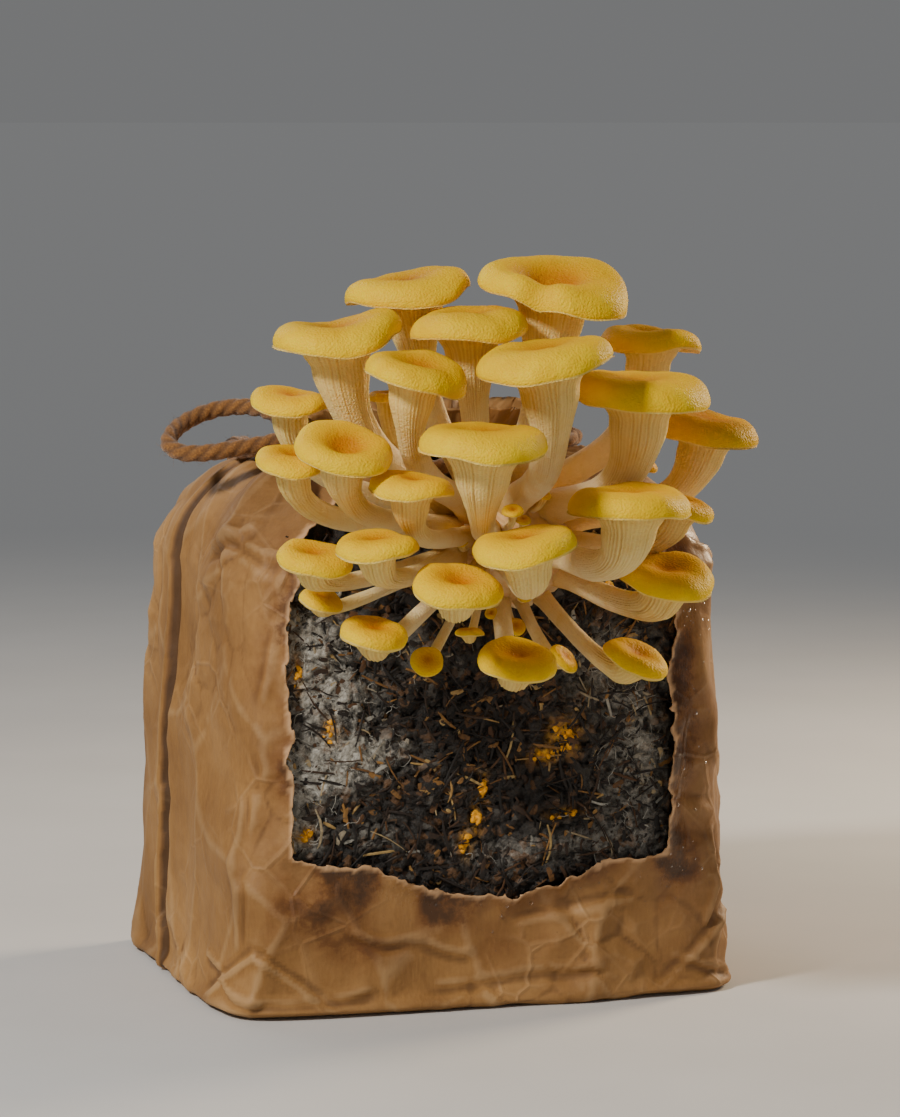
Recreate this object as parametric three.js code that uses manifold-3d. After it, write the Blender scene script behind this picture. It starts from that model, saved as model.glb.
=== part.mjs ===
// Golden oyster mushrooms fruiting from a torn kraft paper grow bag.
// Millimetres, +Z up. The origin is the middle of the bag's flat bottom,
// the torn side of the bag faces -Y and +X is to its right.
import * as THREE from 'three';
import { mergeVertices } from 'three/addons/utils/BufferGeometryUtils.js';
import Module from 'manifold-3d';

const wasm = await Module();
wasm.setup();

// ---- driving dimensions -------------------------------------------------

const bagWidth = 192;            // at the bottom
const bagDepth = 164;
const shoulderWidth = 180;       // where the walls start to lean in
const shoulderDepth = 154;
const wallSharpness = 8;         // how square the walls' outline is; 2 is an ellipse
const neckSharpness = 2.6;
const shoulderHeight = 152;
const neckHeight = 190;          // middle of the tie
const neckWidth = 104;
const neckDepth = 36;
const ruffleHeight = 12;         // gathered paper above the middle of the tie
const ruffleSpread = 5;          // how far the ruffle stands out past the neck
const bottomRounding = 3;
const paperThickness = 0.8;
const gap = 0.3;                 // between pieces that touch

const blockHeight = 170;
const blockClearance = 0.4;      // between the paper and the block

const clusterSide = 6;           // middle of the common base, from the bag's middle
const clusterHeight = 159;
const baseWidth = 54;
const baseReach = 22;            // how far the common base stands out of the block
const baseHeight = 44;
const rootDepth = 2;             // how far a stem is set into the common base

const twineDiameter = 6;
const knotWidth = 14;
const knotOverlap = 2.8;         // how far the knot wraps over the ring of twine
const knotAngle = 216;           // where the knot sits round the neck, in degrees from +X

// Shares of a cap's radius.
const capThickness = 0.45;
const dimpleDepth = 0.14;
const flareRadius = 0.46;        // the stem's flare under the gills
const flareReach = 1.3;          // how far down the stem the flare goes
const rimOverhang = 0.55;        // beyond this share the outline belongs to the rim
const stemSag = 0.4;             // how long a tall stem stays upright, as a share of its rise
const rootPull = 0.3;            // how far a stem runs straight out of the base

// Sides of the round sections.
const mostCapSegments = 12;
const fewestCapSegments = 8;
const capSegmentWidth = 11;      // along the rim
const bagSegments = 40;
const baseSegments = 20;
const knotSegments = 12;
const twineSegments = 8;
const wrapSteps = 36;
const twineStep = 13.8;          // along a loop or a tail

// ---- mushrooms ----------------------------------------------------------

// Each cap's rim centre is given from the middle of the common base: side is
// to the right, front is out of the block's face and rise is up. tip leans the
// cap towards the front and roll lifts its right side, both in degrees. stem is
// the radius of the stem halfway down, and wave is how far the rim rises
// and falls twice round the cap.
const mushrooms = [
  { name: 'mushroom_centre', side: -37, front: 86, rise: 41, radius: 22, tip: 3, roll: -2, stem: 5.5, wave: 1 },
  { name: 'mushroom_tall_front', side: -11, front: 72, rise: 66, radius: 23, tip: 1, roll: 8, stem: 7, wave: 1 },
  { name: 'mushroom_right_front', side: 17, front: 74, rise: 19, radius: 21, tip: 3, roll: 0, stem: 7, wave: 1 },
  { name: 'mushroom_under_centre', side: -25, front: 92, rise: 9, radius: 18, tip: 2, roll: 11, stem: 5.5, wave: 1 },
  { name: 'mushroom_round_front', side: -44, front: 80, rise: -4, radius: 15, tip: 16, roll: 0, stem: 4.5, wave: 0 },
  { name: 'mushroom_right_dome', side: 26, front: 58, rise: 54, radius: 23, tip: 5, roll: 1, stem: 8, wave: 1 },
  { name: 'mushroom_top_right', side: 5, front: 31, rise: 88, radius: 26, tip: 6, roll: -4, stem: 7, wave: 2 },
  { name: 'mushroom_upper_middle', side: -27, front: 40, rise: 76, radius: 21, tip: 1, roll: 3, stem: 6, wave: 1 },
  { name: 'mushroom_upper_left', side: -69, front: 30, rise: 72, radius: 22, tip: 2, roll: 6, stem: 8, wave: 2 },
  { name: 'mushroom_inner_left', side: -52, front: 60, rise: 63, radius: 18, tip: 8, roll: -8, stem: 6, wave: 1 },
  { name: 'mushroom_left_dimple', side: -75, front: 56, rise: 39, radius: 17, tip: 17, roll: -2, stem: 5.5, wave: 0 },
  { name: 'mushroom_inner_low', side: -55, front: 66, rise: 27, radius: 14, tip: 7, roll: -4, stem: 4.5, wave: 1 },
  { name: 'mushroom_left_middle', side: -67, front: 66, rise: 8, radius: 14, tip: 8, roll: 3, stem: 4.5, wave: 1 },
  { name: 'mushroom_far_right', side: 58, front: 34, rise: 40, radius: 19, tip: 8, roll: -7, stem: 7, wave: 1 },
  { name: 'mushroom_right_low', side: 37, front: 54, rise: -7, radius: 17, tip: 15, roll: -2, stem: 5.5, wave: 1 },
  { name: 'mushroom_back_right', side: 46, front: 12, rise: 68, radius: 18, tip: 2, roll: -3, stem: 7, wave: 1 },
  { name: 'mushroom_top_left', side: -38, front: 9, rise: 86, radius: 22, tip: 2, roll: 8, stem: 6, wave: 1 },
  { name: 'mushroom_left_outer', side: -87, front: 38, rise: 34, radius: 13, tip: 10, roll: 0, stem: 5, wave: 1 },
  { name: 'mushroom_left_back', side: -80, front: 10, rise: 51, radius: 14, tip: 9, roll: -3, stem: 5, wave: 1 },
  { name: 'mushroom_behind_left', side: -48, front: 16, rise: 53, radius: 7, tip: 2, roll: 0, stem: 4, wave: 0 },
  { name: 'mushroom_behind_right', side: 43, front: 48, rise: 16, radius: 13, tip: 6, roll: -12, stem: 5, wave: 1 },
  { name: 'mushroom_left_low', side: -83, front: 48, rise: 3, radius: 13, tip: 16, roll: -3, stem: 4, wave: 0 },
  { name: 'mushroom_left_under', side: -76, front: 32, rise: -12, radius: 8, tip: 20, roll: -10, stem: 3, wave: 0 },
  { name: 'mushroom_bottom_left', side: -63, front: 50, rise: -22, radius: 12, tip: 17, roll: -4, stem: 4, wave: 0 },
  { name: 'mushroom_bottom_middle', side: -16, front: 56, rise: -32, radius: 14, tip: 17, roll: -2, stem: 4.5, wave: 0 },
  { name: 'mushroom_bottom_right', side: 28, front: 48, rise: -34, radius: 12, tip: 22, roll: -18, stem: 4, wave: 0 },
  { name: 'mushroom_bottom_small', side: -38, front: 28, rise: -34, radius: 6, tip: 50, roll: 5, stem: 2.5, wave: 0 },
  { name: 'mushroom_bottom_hidden', side: 7, front: 36, rise: -34, radius: 6, tip: 35, roll: -30, stem: 3, wave: 0 },
  { name: 'mushroom_tiny', side: -24, front: 30, rise: -25, radius: 5, tip: 0, roll: 0, stem: 2, wave: 0 },
];

// ---- helpers ------------------------------------------------------------

function solidFrom(geometry) {
  const bare = geometry.clone();
  bare.deleteAttribute('normal');
  bare.deleteAttribute('uv');
  const merged = mergeVertices(bare, 1e-4);
  return new wasm.Manifold(new wasm.Mesh({
    numProp: 3,
    vertProperties: new Float32Array(merged.attributes.position.array),
    triVerts: new Uint32Array(merged.index.array),
  }));
}

function geometryFrom(solid) {
  const mesh = solid.getMesh();
  const geometry = new THREE.BufferGeometry();
  geometry.setAttribute('position', new THREE.BufferAttribute(mesh.vertProperties, 3));
  geometry.setIndex(new THREE.BufferAttribute(mesh.triVerts, 1));
  geometry.computeVertexNormals();
  return geometry;
}

const object = new THREE.Group();

function addPiece(name, geometry, material) {
  const mesh = new THREE.Mesh(geometry, material);
  mesh.name = name;
  object.add(mesh);
}

function boxesMeet(a, b) {
  return [0, 1, 2].every((axis) => a.min[axis] < b.max[axis] && b.min[axis] < a.max[axis]);
}

// ---- materials ----------------------------------------------------------

function mushroomFlesh() {
  return new THREE.MeshStandardMaterial({ color: 0xf0cf3a, roughness: 0.65, metalness: 0 });
}

function baseFlesh() {
  return new THREE.MeshStandardMaterial({ color: 0xe8d5ab, roughness: 0.7, metalness: 0 });
}

function kraftPaper() {
  return new THREE.MeshStandardMaterial({ color: 0xb98a5e, roughness: 0.85, metalness: 0 });
}

function substrate() {
  return new THREE.MeshStandardMaterial({ color: 0x2e2620, roughness: 0.95, metalness: 0 });
}

function jute() {
  return new THREE.MeshStandardMaterial({ color: 0x9a7150, roughness: 0.95, metalness: 0 });
}

// ---- bag and block ------------------------------------------------------

// A section of the bag: its half width and half depth at a height, and the
// exponent that squares its outline, where 2 is an ellipse.
function section(height, width, depth, sharpness) {
  return { height, width, depth, sharpness };
}

function blend(start, end, share) {
  return start + (end - start) * share;
}

const tieHalf = twineDiameter / 2;
const neckBottom = neckHeight - tieHalf;

// How far the crown has risen and drawn in from the shoulder to the neck.
const crownSteps = [
  { rise: 0.42, narrow: 0.14, thin: 0.13, sharpness: 6 },
  { rise: 0.8, narrow: 0.46, thin: 0.43, sharpness: 4.5 },
  { rise: 0.96, narrow: 0.78, thin: 0.78, sharpness: 3.2 },
];

function crownSection({ rise, narrow, thin, sharpness }) {
  const height = blend(shoulderHeight, neckBottom, rise);
  const width = blend(shoulderWidth / 2, neckWidth / 2, narrow);
  const depth = blend(shoulderDepth / 2, neckDepth / 2, thin);
  return section(height, width, depth, sharpness);
}

const bodySections = [
  section(0, bagWidth / 2 - bottomRounding, bagDepth / 2 - bottomRounding, wallSharpness),
  section(bottomRounding, bagWidth / 2, bagDepth / 2, wallSharpness),
  section(shoulderHeight, shoulderWidth / 2, shoulderDepth / 2, wallSharpness),
  ...crownSteps.map(crownSection),
];

const neckSections = [
  section(neckBottom, neckWidth / 2, neckDepth / 2, neckSharpness),
  section(neckHeight + tieHalf, neckWidth / 2, neckDepth / 2, neckSharpness),
  section(
    neckHeight + ruffleHeight,
    neckWidth / 2 + ruffleSpread,
    neckDepth / 2 + ruffleSpread,
    neckSharpness,
  ),
];

// A point on a unit square with rounded corners.
function squaredCircle(angle, sharpness) {
  const across = Math.abs(Math.cos(angle)) ** sharpness;
  const along = Math.abs(Math.sin(angle)) ** sharpness;
  const reach = (across + along) ** (-1 / sharpness);
  return new THREE.Vector2(Math.cos(angle) * reach, Math.sin(angle) * reach);
}

// A closed solid through the sections, drawn in by an inset all round.
function loftSections(sections, inset) {
  const rows = sections.map((_, row) => new THREE.Vector2(1, row));
  const outline = [new THREE.Vector2(0, 0), ...rows, new THREE.Vector2(0, sections.length - 1)];
  const geometry = new THREE.LatheGeometry(outline, bagSegments);
  const position = geometry.attributes.position;
  for (let i = 0; i < position.count; i += 1) {
    const { height, width, depth, sharpness } = sections[Math.round(position.getY(i))];
    const onAxis = Math.hypot(position.getX(i), position.getZ(i)) < 0.5;
    const angle = Math.atan2(-position.getZ(i), position.getX(i));
    const point = squaredCircle(angle, sharpness).multiplyScalar(onAxis ? 0 : 1);
    position.setXYZ(i, point.x * (width - inset), point.y * (depth - inset), height);
  }
  return solidFrom(geometry);
}

// The torn window's outline on the bag's front, from its lower left corner.
const tornWindow = [
  [-72, 55], [-52, 53], [-34, 48], [-14, 41], [2, 38], [18, 42], [32, 46], [46, 51], [62, 50],
  [64, 84], [65, 118], [67, 146], [56, 168], [24, 177], [-20, 177], [-50, 173], [-66, 162],
  [-72, 130], [-71, 92],
];

function windowCutter() {
  const outline = new THREE.Shape(tornWindow.map(([x, z]) => new THREE.Vector2(x, z)));
  const geometry = new THREE.ExtrudeGeometry(outline, { depth: bagDepth / 2, bevelEnabled: false });
  geometry.rotateX(Math.PI / 2);
  return solidFrom(geometry).translate([0, -neckDepth / 2, 0]);
}

function hollowSections(floorHeight) {
  const sections = bodySections.map((row) => ({ ...row }));
  sections[0].height = floorHeight;
  return sections;
}

// The bag's outer shape, swollen by an amount all round.
function bagOutside(swell) {
  return loftSections([...bodySections, ...neckSections], -swell);
}

function paperBag() {
  const inside = loftSections(hollowSections(paperThickness), paperThickness);
  return bagOutside(0).subtract(inside).subtract(windowCutter());
}

// The block fills the bag up to its own height, set in from the bag's outside.
function substrateBlock(inset) {
  const filling = loftSections(hollowSections(paperThickness + gap), inset);
  const above = new THREE.BoxGeometry(bagWidth * 2, bagDepth * 2, neckHeight);
  above.translate(0, 0, blockHeight + neckHeight / 2);
  return filling.subtract(solidFrom(above));
}

const blockInset = paperThickness + blockClearance;

// ---- cluster ------------------------------------------------------------

const clusterMiddle = new THREE.Vector3(clusterSide, -shoulderDepth / 2, clusterHeight);

// The lump that every stem grows from, swollen by an amount all round.
function commonBase(swell) {
  const geometry = new THREE.SphereGeometry(1, baseSegments, baseSegments * 0.6);
  geometry.scale(baseWidth / 2 + swell, baseReach + swell, baseHeight / 2 + swell);
  geometry.translate(clusterMiddle.x, clusterMiddle.y, clusterMiddle.z);
  return solidFrom(geometry);
}

function basePoint(direction) {
  const across = direction.x / (baseWidth / 2);
  const out = direction.y / baseReach;
  const up = direction.z / (baseHeight / 2);
  const reach = 1 / Math.hypot(across, out, up);
  return clusterMiddle.clone().addScaledVector(direction, reach);
}

// Cap and stem as one outline round a straight axis, from the root up to the
// middle of the top. Heights above 0 are in the cap and below 0 down the stem.
function mushroomOutline({ radius, stem }, length, swell) {
  const height = radius * capThickness;
  const flare = Math.max(radius * flareRadius, stem * 1.1);
  const flareLength = Math.min(radius * flareReach, length * 0.6);
  const cap = [
    [flare * 1.3 + swell, height * 0.1 - swell],
    [radius * 0.93 + swell, -swell],
    [radius + swell, height * 0.3],
    [radius * 0.8 + swell, height * 0.85 + swell],
    [radius * 0.45, height * 0.95 + swell],
    [0, height - radius * dimpleDepth + swell],
  ];
  const stalk = [
    [0, -length],
    [stem * 0.9 + swell, -length],
    [stem * 0.92 + swell, -blend(flareLength, length, 0.5)],
    [stem + swell, -flareLength],
    [blend(flare, stem, 0.7) + swell, -flareLength * 0.6],
    [blend(flare, stem, 0.25) + swell, -flareLength * 0.25],
  ];
  return [...stalk, ...cap].map(([across, along]) => new THREE.Vector2(across, along));
}

function capFrame(row) {
  const lean = new THREE.Euler(
    THREE.MathUtils.degToRad(row.tip), THREE.MathUtils.degToRad(-row.roll), 0,
  );
  return new THREE.Quaternion().setFromEuler(lean);
}

function stemCurve(row) {
  const up = new THREE.Vector3(0, 0, 1).applyQuaternion(capFrame(row));
  const cap = clusterMiddle.clone().add(new THREE.Vector3(row.side, -row.front, row.rise));
  const lowered = cap.clone().addScaledVector(up, -row.radius * 0.8);
  const outward = lowered.clone().sub(clusterMiddle).normalize();
  const root = basePoint(outward).addScaledVector(outward, -rootDepth);
  const drop = row.radius + Math.max(cap.z - root.z, 0) * stemSag;
  return new THREE.CubicBezierCurve3(
    cap,
    cap.clone().addScaledVector(up, -drop),
    root.clone().addScaledVector(outward, root.distanceTo(cap) * rootPull),
    root,
  );
}

// Bends the straight outline along the stem's curve.
function mushroom(row, swell) {
  const curve = stemCurve(row);
  const length = curve.getLength();
  const outline = mushroomOutline(row, length, swell);
  const wanted = Math.round((2 * Math.PI * row.radius) / capSegmentWidth);
  const segments = THREE.MathUtils.clamp(wanted, fewestCapSegments, mostCapSegments);
  const geometry = new THREE.LatheGeometry(outline, segments);
  const position = geometry.attributes.position;
  const frame = capFrame(row);
  const up = new THREE.Vector3(0, 0, 1).applyQuaternion(frame);
  for (let i = 0; i < position.count; i += 1) {
    const along = position.getY(i);
    const across = new THREE.Vector3(position.getX(i), -position.getZ(i), 0);
    const angle = Math.atan2(across.y, across.x);
    const out = Math.min(across.length() / row.radius, 1);
    const onRim = out > rimOverhang;
    if (onRim) {
      across.z = along + row.wave * out ** 2 * Math.cos(2 * angle + row.side);
    } else {
      across.z = Math.max(along, 0);
    }
    across.applyQuaternion(frame);
    const down = onRim ? 0 : Math.min(Math.max(-along / length, 0), 1);
    const axis = curve.getTangentAt(down).negate();
    const turn = new THREE.Quaternion().setFromUnitVectors(up, axis);
    const point = across.applyQuaternion(turn).add(curve.getPointAt(down));
    position.setXYZ(i, point.x, point.y, point.z);
  }
  return solidFrom(geometry);
}

function largestBody(solid) {
  return solid.decompose().sort((a, b) => b.volume() - a.volume())[0];
}

// Each mushroom is pressed back where it grows against the ones before it,
// without the thread of flesh that the pressing can pinch off.
function pressedMushroom(row, grown) {
  let solid = mushroom(row, 0);
  const neighbours = grown.filter((other) => boxesMeet(solid.boundingBox(), other.boundingBox()));
  for (const other of neighbours) {
    solid = solid.subtract(other);
  }
  return largestBody(solid);
}

// ---- twine --------------------------------------------------------------

// A point on the neck's outline moved straight out by a distance.
function besideNeck(angle, distance) {
  const half = new THREE.Vector2(neckWidth / 2, neckDepth / 2);
  const point = squaredCircle(angle, neckSharpness).multiply(half);
  const nextAngle = angle + THREE.MathUtils.degToRad(0.5);
  const ahead = squaredCircle(nextAngle, neckSharpness).multiply(half).sub(point).normalize();
  return new THREE.Vector3(point.x + ahead.y * distance, point.y - ahead.x * distance, neckHeight);
}

// A round ring of twine, pressed to the neck's outline.
function twineWrap(swell) {
  const ring = neckWidth;
  const geometry = new THREE.TorusGeometry(ring, twineDiameter / 2 + swell, twineSegments, wrapSteps);
  const position = geometry.attributes.position;
  for (let i = 0; i < position.count; i += 1) {
    const out = Math.hypot(position.getX(i), position.getY(i)) - ring;
    const angle = Math.atan2(position.getY(i), position.getX(i));
    const point = besideNeck(angle, out + twineDiameter / 2 + gap);
    position.setXYZ(i, point.x, point.y, point.z + position.getZ(i));
  }
  return solidFrom(geometry);
}

const knotMiddle = besideNeck(
  THREE.MathUtils.degToRad(knotAngle),
  twineDiameter + knotWidth / 2 - knotOverlap,
);

function twineKnot(swell) {
  const geometry = new THREE.SphereGeometry(knotWidth / 2 + swell, knotSegments, knotSegments * 2 / 3);
  geometry.translate(knotMiddle.x, knotMiddle.y, knotMiddle.z);
  return solidFrom(geometry);
}

// The bow's two loops leave the knot and come back to it, and its two tails
// lie on the bag's crown.
const twineRoutes = {
  twine_loop_left: [
    [-53, -18, 196], [-56, -14, 199], [-60, -8, 202], [-64, -2, 203], [-69, 3, 203], [-75, 6, 202],
    [-82, 6, 200], [-89, 3, 197], [-94, -3, 194], [-96, -9, 191], [-93, -15, 189], [-87, -19, 189],
    [-80, -22, 190], [-73, -23, 191], [-67, -24, 192], [-61, -24, 193], [-57, -22, 193],
  ],
  twine_loop_right: [
    [-46, -23, 193], [-40, -27, 194], [-33, -29, 194], [-25, -29, 193], [-18, -30, 193],
    [-11, -31, 192], [-5, -35, 191], [-1, -41, 190], [-2, -48, 188], [-7, -53, 186],
    [-14, -55, 185], [-21, -54, 186], [-28, -51, 187], [-35, -46, 188], [-41, -40, 189],
    [-46, -33, 190], [-49, -27, 191],
  ],
  twine_tail_back: [
    [-56, -16, 189], [-60, -13, 189], [-64, -8, 189], [-67, -2, 188], [-68, 4, 188], [-68, 10, 188],
    [-67, 16, 188], [-64, 22, 188], [-61, 28, 187], [-58, 34, 187], [-56, 40, 186], [-56, 46, 184],
    [-57, 52, 181],
  ],
  twine_tail_front: [
    [-55, -26, 188], [-57, -30, 189], [-59, -34, 189], [-60, -39, 189], [-61, -44, 188],
    [-62, -49, 186], [-63, -54, 184], [-64, -58, 181], [-65, -62, 178],
  ],
};

function twineTube(points) {
  const route = new THREE.CatmullRomCurve3(points.map(([x, y, z]) => new THREE.Vector3(x, y, z)));
  const round = new THREE.Shape();
  round.absarc(0, 0, twineDiameter / 2, 0, Math.PI * 2);
  const steps = Math.round(route.getLength() / twineStep);
  const geometry = new THREE.ExtrudeGeometry(round, {
    extrudePath: route, steps, curveSegments: twineSegments / 2,
  });
  return solidFrom(geometry);
}

// ---- assembly -----------------------------------------------------------

addPiece('paper_bag', geometryFrom(paperBag()), kraftPaper());
addPiece('substrate_block', geometryFrom(substrateBlock(blockInset)), substrate());

const blockRoom = substrateBlock(blockInset - gap);
const lump = commonBase(0).subtract(blockRoom);
addPiece('cluster_base', geometryFrom(lump), baseFlesh());

const grown = [blockRoom, commonBase(gap)];
for (const row of mushrooms) {
  const solid = pressedMushroom(row, grown);
  grown.push(mushroom(row, gap));
  addPiece(row.name, geometryFrom(solid), mushroomFlesh());
}

addPiece('twine_wrap', geometryFrom(twineWrap(0)), jute());
const knot = twineKnot(0).subtract(twineWrap(gap)).subtract(bagOutside(gap));
addPiece('twine_knot', geometryFrom(knot), jute());
for (const [name, points] of Object.entries(twineRoutes)) {
  const tube = twineTube(points).subtract(twineKnot(gap));
  addPiece(name, geometryFrom(tube), jute());
}

export default object;
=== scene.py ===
"""Looks for the golden oyster mushroom cluster on its kraft paper grow bag.

Work is done in millimetres and turned into metres where a mesh is made. Every
shape starts from a CAD node of the frame: the caps and stems from the rings of
the node's own mesh, the bag from its wall, the block and the base from their
outsides, and the twine from the routes that part.mjs also uses.
"""
import math

import bpy
import numpy as np
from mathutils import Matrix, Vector


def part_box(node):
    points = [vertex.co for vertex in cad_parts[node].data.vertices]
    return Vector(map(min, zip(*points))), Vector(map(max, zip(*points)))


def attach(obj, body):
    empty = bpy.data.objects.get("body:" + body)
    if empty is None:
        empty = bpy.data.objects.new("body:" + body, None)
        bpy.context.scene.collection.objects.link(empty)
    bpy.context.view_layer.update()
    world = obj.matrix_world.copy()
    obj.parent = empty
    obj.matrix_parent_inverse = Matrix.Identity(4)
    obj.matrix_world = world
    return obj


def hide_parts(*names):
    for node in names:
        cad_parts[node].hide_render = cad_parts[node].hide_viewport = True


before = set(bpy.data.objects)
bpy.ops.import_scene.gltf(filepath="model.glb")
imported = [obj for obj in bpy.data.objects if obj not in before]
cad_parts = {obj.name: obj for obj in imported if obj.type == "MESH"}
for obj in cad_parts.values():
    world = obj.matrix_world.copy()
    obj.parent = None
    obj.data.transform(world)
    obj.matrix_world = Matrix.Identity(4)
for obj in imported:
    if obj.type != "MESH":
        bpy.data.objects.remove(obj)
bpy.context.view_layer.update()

MM = 0.001
FAR = 1e9
SEED = 7

# Camera: its angle round the object, its height and what it looks at.
CAMERA_AZIMUTH = -17.5
CAMERA_ELEVATION = 6.5
CAMERA_DISTANCE = 1600
CAMERA_LENS = 144.16
CAMERA_TARGET = (9.08, 0, 146.96)

BACKDROP = (0.80, 0.81, 0.82)
BACKDROP_STRENGTH = 0.22

# Mushrooms.
GILL_DEPTH, GILL_SPACING = 0.62, 1.5
STEM_STEP = 1.3          # mm between rows
STEM_FRAMES = 220        # places where a stem's directions are worked out
BASE_GRID = (110, 190)
BASE_RIBS = 26

# Bag.
PAPER_STEP = 1.25        # mm between points
PAPER_THICKNESS = 0.55
FOLD_DEPTH = 10.5        # of the big crumples
CREASE_DEPTH = 6.6       # of the small ones
PAPER_RISE, PAPER_DROP = 2.2, 5.4   # the most it stands out and sinks in
TEAR_ROUGHNESS = 1.5
TEAR_REACH = PAPER_STEP * 1.6       # how far inside the tear a point is kept
SEAM_WIDTH, LAP_WIDTH = 26, 9
SEEN_INSIDE = 26         # how far behind the tear's edge the inner side is made
NECK_PLEATS, NECK_FINE_PLEATS = 17, 41
FUNNEL_ROWS = 7          # rings of paper inside the gathered top

# Block.
BLOCK_STEP = 0.95
BLOCK_RELIEF = 3.4
BLOCK_INSET = 9.0        # behind the bag's wall, away from the window
UNDER_PAPER = 6.5        # how much further back it is under the paper
BEAD_RINGS = (7, 12)     # rings of a drop or a nodule, and points in each
BEAD_FLATNESS = 0.6
CHIP_PLACES, THREAD_PLACES = 3300, 1500
CHIP_TOP = 168           # no chips above this
DROP_COUNT, LARGEST_DROP = 50, 0.5

# Twine.
TWINE_DIAMETER = 6
PLIES = 3
PLY_PITCH = 17           # mm for one turn of a ply
TWINE_AROUND = 30        # points round a tube
KNOT_STEPS, KNOT_AROUND = 120, 24
FRAYED_STRANDS = 26
HAIR_WIDTH = 0.055
WRAP_RADIUS, WRAP_TURNS, WRAP_POINTS = 2.9, 36, 420
KNOT_BANDS = [           # each band's tilt, its shift along the knot and its radius
    (0.25, -1.7, 4.0), (-0.2, 1.7, 3.9), (1.25, 0.0, 3.3),
]
KNOT_TWINE_RADIUS = 2.7


# ---- noise ---------------------------------------------------------------

def lattice(cell, seed):
    """A fixed number from -1 to 1 for each whole-number cell."""
    n = cell[..., 0] * 73856093 ^ cell[..., 1] * 19349663 ^ cell[..., 2] * 83492791
    n = (n ^ (seed * 97531 + 12345)) & 0xFFFFFFFF
    n = ((n ^ (n >> 16)) * 0x45D9F3B) & 0xFFFFFFFF
    n = ((n ^ (n >> 16)) * 0x45D9F3B) & 0xFFFFFFFF
    n = n ^ (n >> 16)
    return n / 0xFFFFFFFF * 2.0 - 1.0


def noise(points, scale, seed):
    """Smooth noise from -1 to 1 at points of shape (..., 3)."""
    q = np.asarray(points, float) / scale
    cell = np.floor(q).astype(np.int64)
    f = q - cell
    f = f * f * f * (f * (f * 6 - 15) + 10)
    total = 0.0
    for corner in range(8):
        step = np.array([corner & 1, corner >> 1 & 1, corner >> 2 & 1])
        weight = np.prod(np.where(step == 1, f, 1 - f), axis=-1)
        total = total + weight * lattice(cell + step, seed)
    return total


def fractal(points, scale, octaves, seed):
    total, size, amount = 0.0, scale, 1.0
    for octave in range(octaves):
        total = total + amount * noise(points, size, seed + octave * 17)
        size, amount = size * 0.5, amount * 0.5
    return total


def flat_points(u, v, third=0.0):
    return np.stack([u, v, np.zeros_like(u) + third], axis=-1)


def smooth_step(low, high, value):
    t = np.clip((value - low) / (high - low), 0, 1)
    return t * t * (3 - 2 * t)


# ---- meshes --------------------------------------------------------------

def make_mesh(name, points, faces, smooth=True, **attributes):
    """A mesh object from points in millimetres."""
    mesh = bpy.data.meshes.new(name)
    points = np.asarray(points, np.float32) * np.float32(MM)
    faces = [np.asarray(part, np.int32) for part in (faces if isinstance(faces, list) else [faces])]
    faces = [part for part in faces if len(part)]
    loops = np.concatenate([part.ravel() for part in faces])
    sizes = np.concatenate([np.full(len(part), part.shape[1]) for part in faces])
    starts = np.concatenate([[0], np.cumsum(sizes)[:-1]])
    mesh.vertices.add(len(points))
    mesh.vertices.foreach_set("co", points.ravel())
    mesh.loops.add(len(loops))
    mesh.loops.foreach_set("vertex_index", loops.astype(np.int32))
    mesh.polygons.add(len(sizes))
    mesh.polygons.foreach_set("loop_start", starts.astype(np.int32))
    mesh.update(calc_edges=True)
    mesh.validate()
    mesh.polygons.foreach_set("use_smooth", np.full(len(mesh.polygons), smooth))
    for key, values in attributes.items():
        layer = mesh.attributes.new(key, "FLOAT", "POINT")
        layer.data.foreach_set("value", np.asarray(values, np.float32).ravel())
    mesh.update()
    piece = bpy.data.objects.new(name, mesh)
    bpy.context.scene.collection.objects.link(piece)
    return piece


def grid_faces(rows, columns, wrap=True, offset=0):
    """Quads between rows of points, with the columns going round."""
    across = columns if wrap else columns - 1
    r, c = np.meshgrid(np.arange(rows - 1), np.arange(across), indexing="ij")
    after = (c + 1) % columns
    corners = [r * columns + c, r * columns + after, (r + 1) * columns + after, (r + 1) * columns + c]
    return np.stack([corner.ravel() for corner in corners], axis=-1) + offset


def fan_faces(centre, ring, flip=False):
    ring = np.asarray(ring)
    after = np.roll(ring, -1)
    first, second = (after, ring) if flip else (ring, after)
    return np.stack([np.full(len(ring), centre), first, second], axis=-1)


def join_parts(parts):
    """Points, faces and attributes of several (points, faces, attributes) as one."""
    points, faces, attributes, offset = [], [], {}, 0
    for part_points, part_faces, part_attributes in parts:
        points.append(part_points)
        for group in part_faces if isinstance(part_faces, list) else [part_faces]:
            faces.append(np.asarray(group) + offset)
        for key, values in part_attributes.items():
            attributes.setdefault(key, []).append(np.asarray(values, float).ravel())
        offset += len(part_points)
    return np.concatenate(points), faces, {key: np.concatenate(v) for key, v in attributes.items()}


def node_mesh(name):
    """The merged points, in mm, and the triangles of a CAD node."""
    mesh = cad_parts[name].data
    co = np.zeros(len(mesh.vertices) * 3, np.float32)
    mesh.vertices.foreach_get("co", co)
    mesh.calc_loop_triangles()
    tris = np.zeros(len(mesh.loop_triangles) * 3, np.int32)
    mesh.loop_triangles.foreach_get("vertices", tris)
    co = co.reshape(-1, 3).astype(float)
    keys = np.round(co / 2e-6).astype(np.int64)
    _, first, back = np.unique(keys, axis=0, return_index=True, return_inverse=True)
    tris = back.ravel()[tris].reshape(-1, 3)
    keep = (tris[:, 0] != tris[:, 1]) & (tris[:, 1] != tris[:, 2]) & (tris[:, 0] != tris[:, 2])
    return co[first] / MM, tris[keep]


def box_mm(name):
    low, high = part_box(name)
    return np.array(low) / MM, np.array(high) / MM


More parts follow.
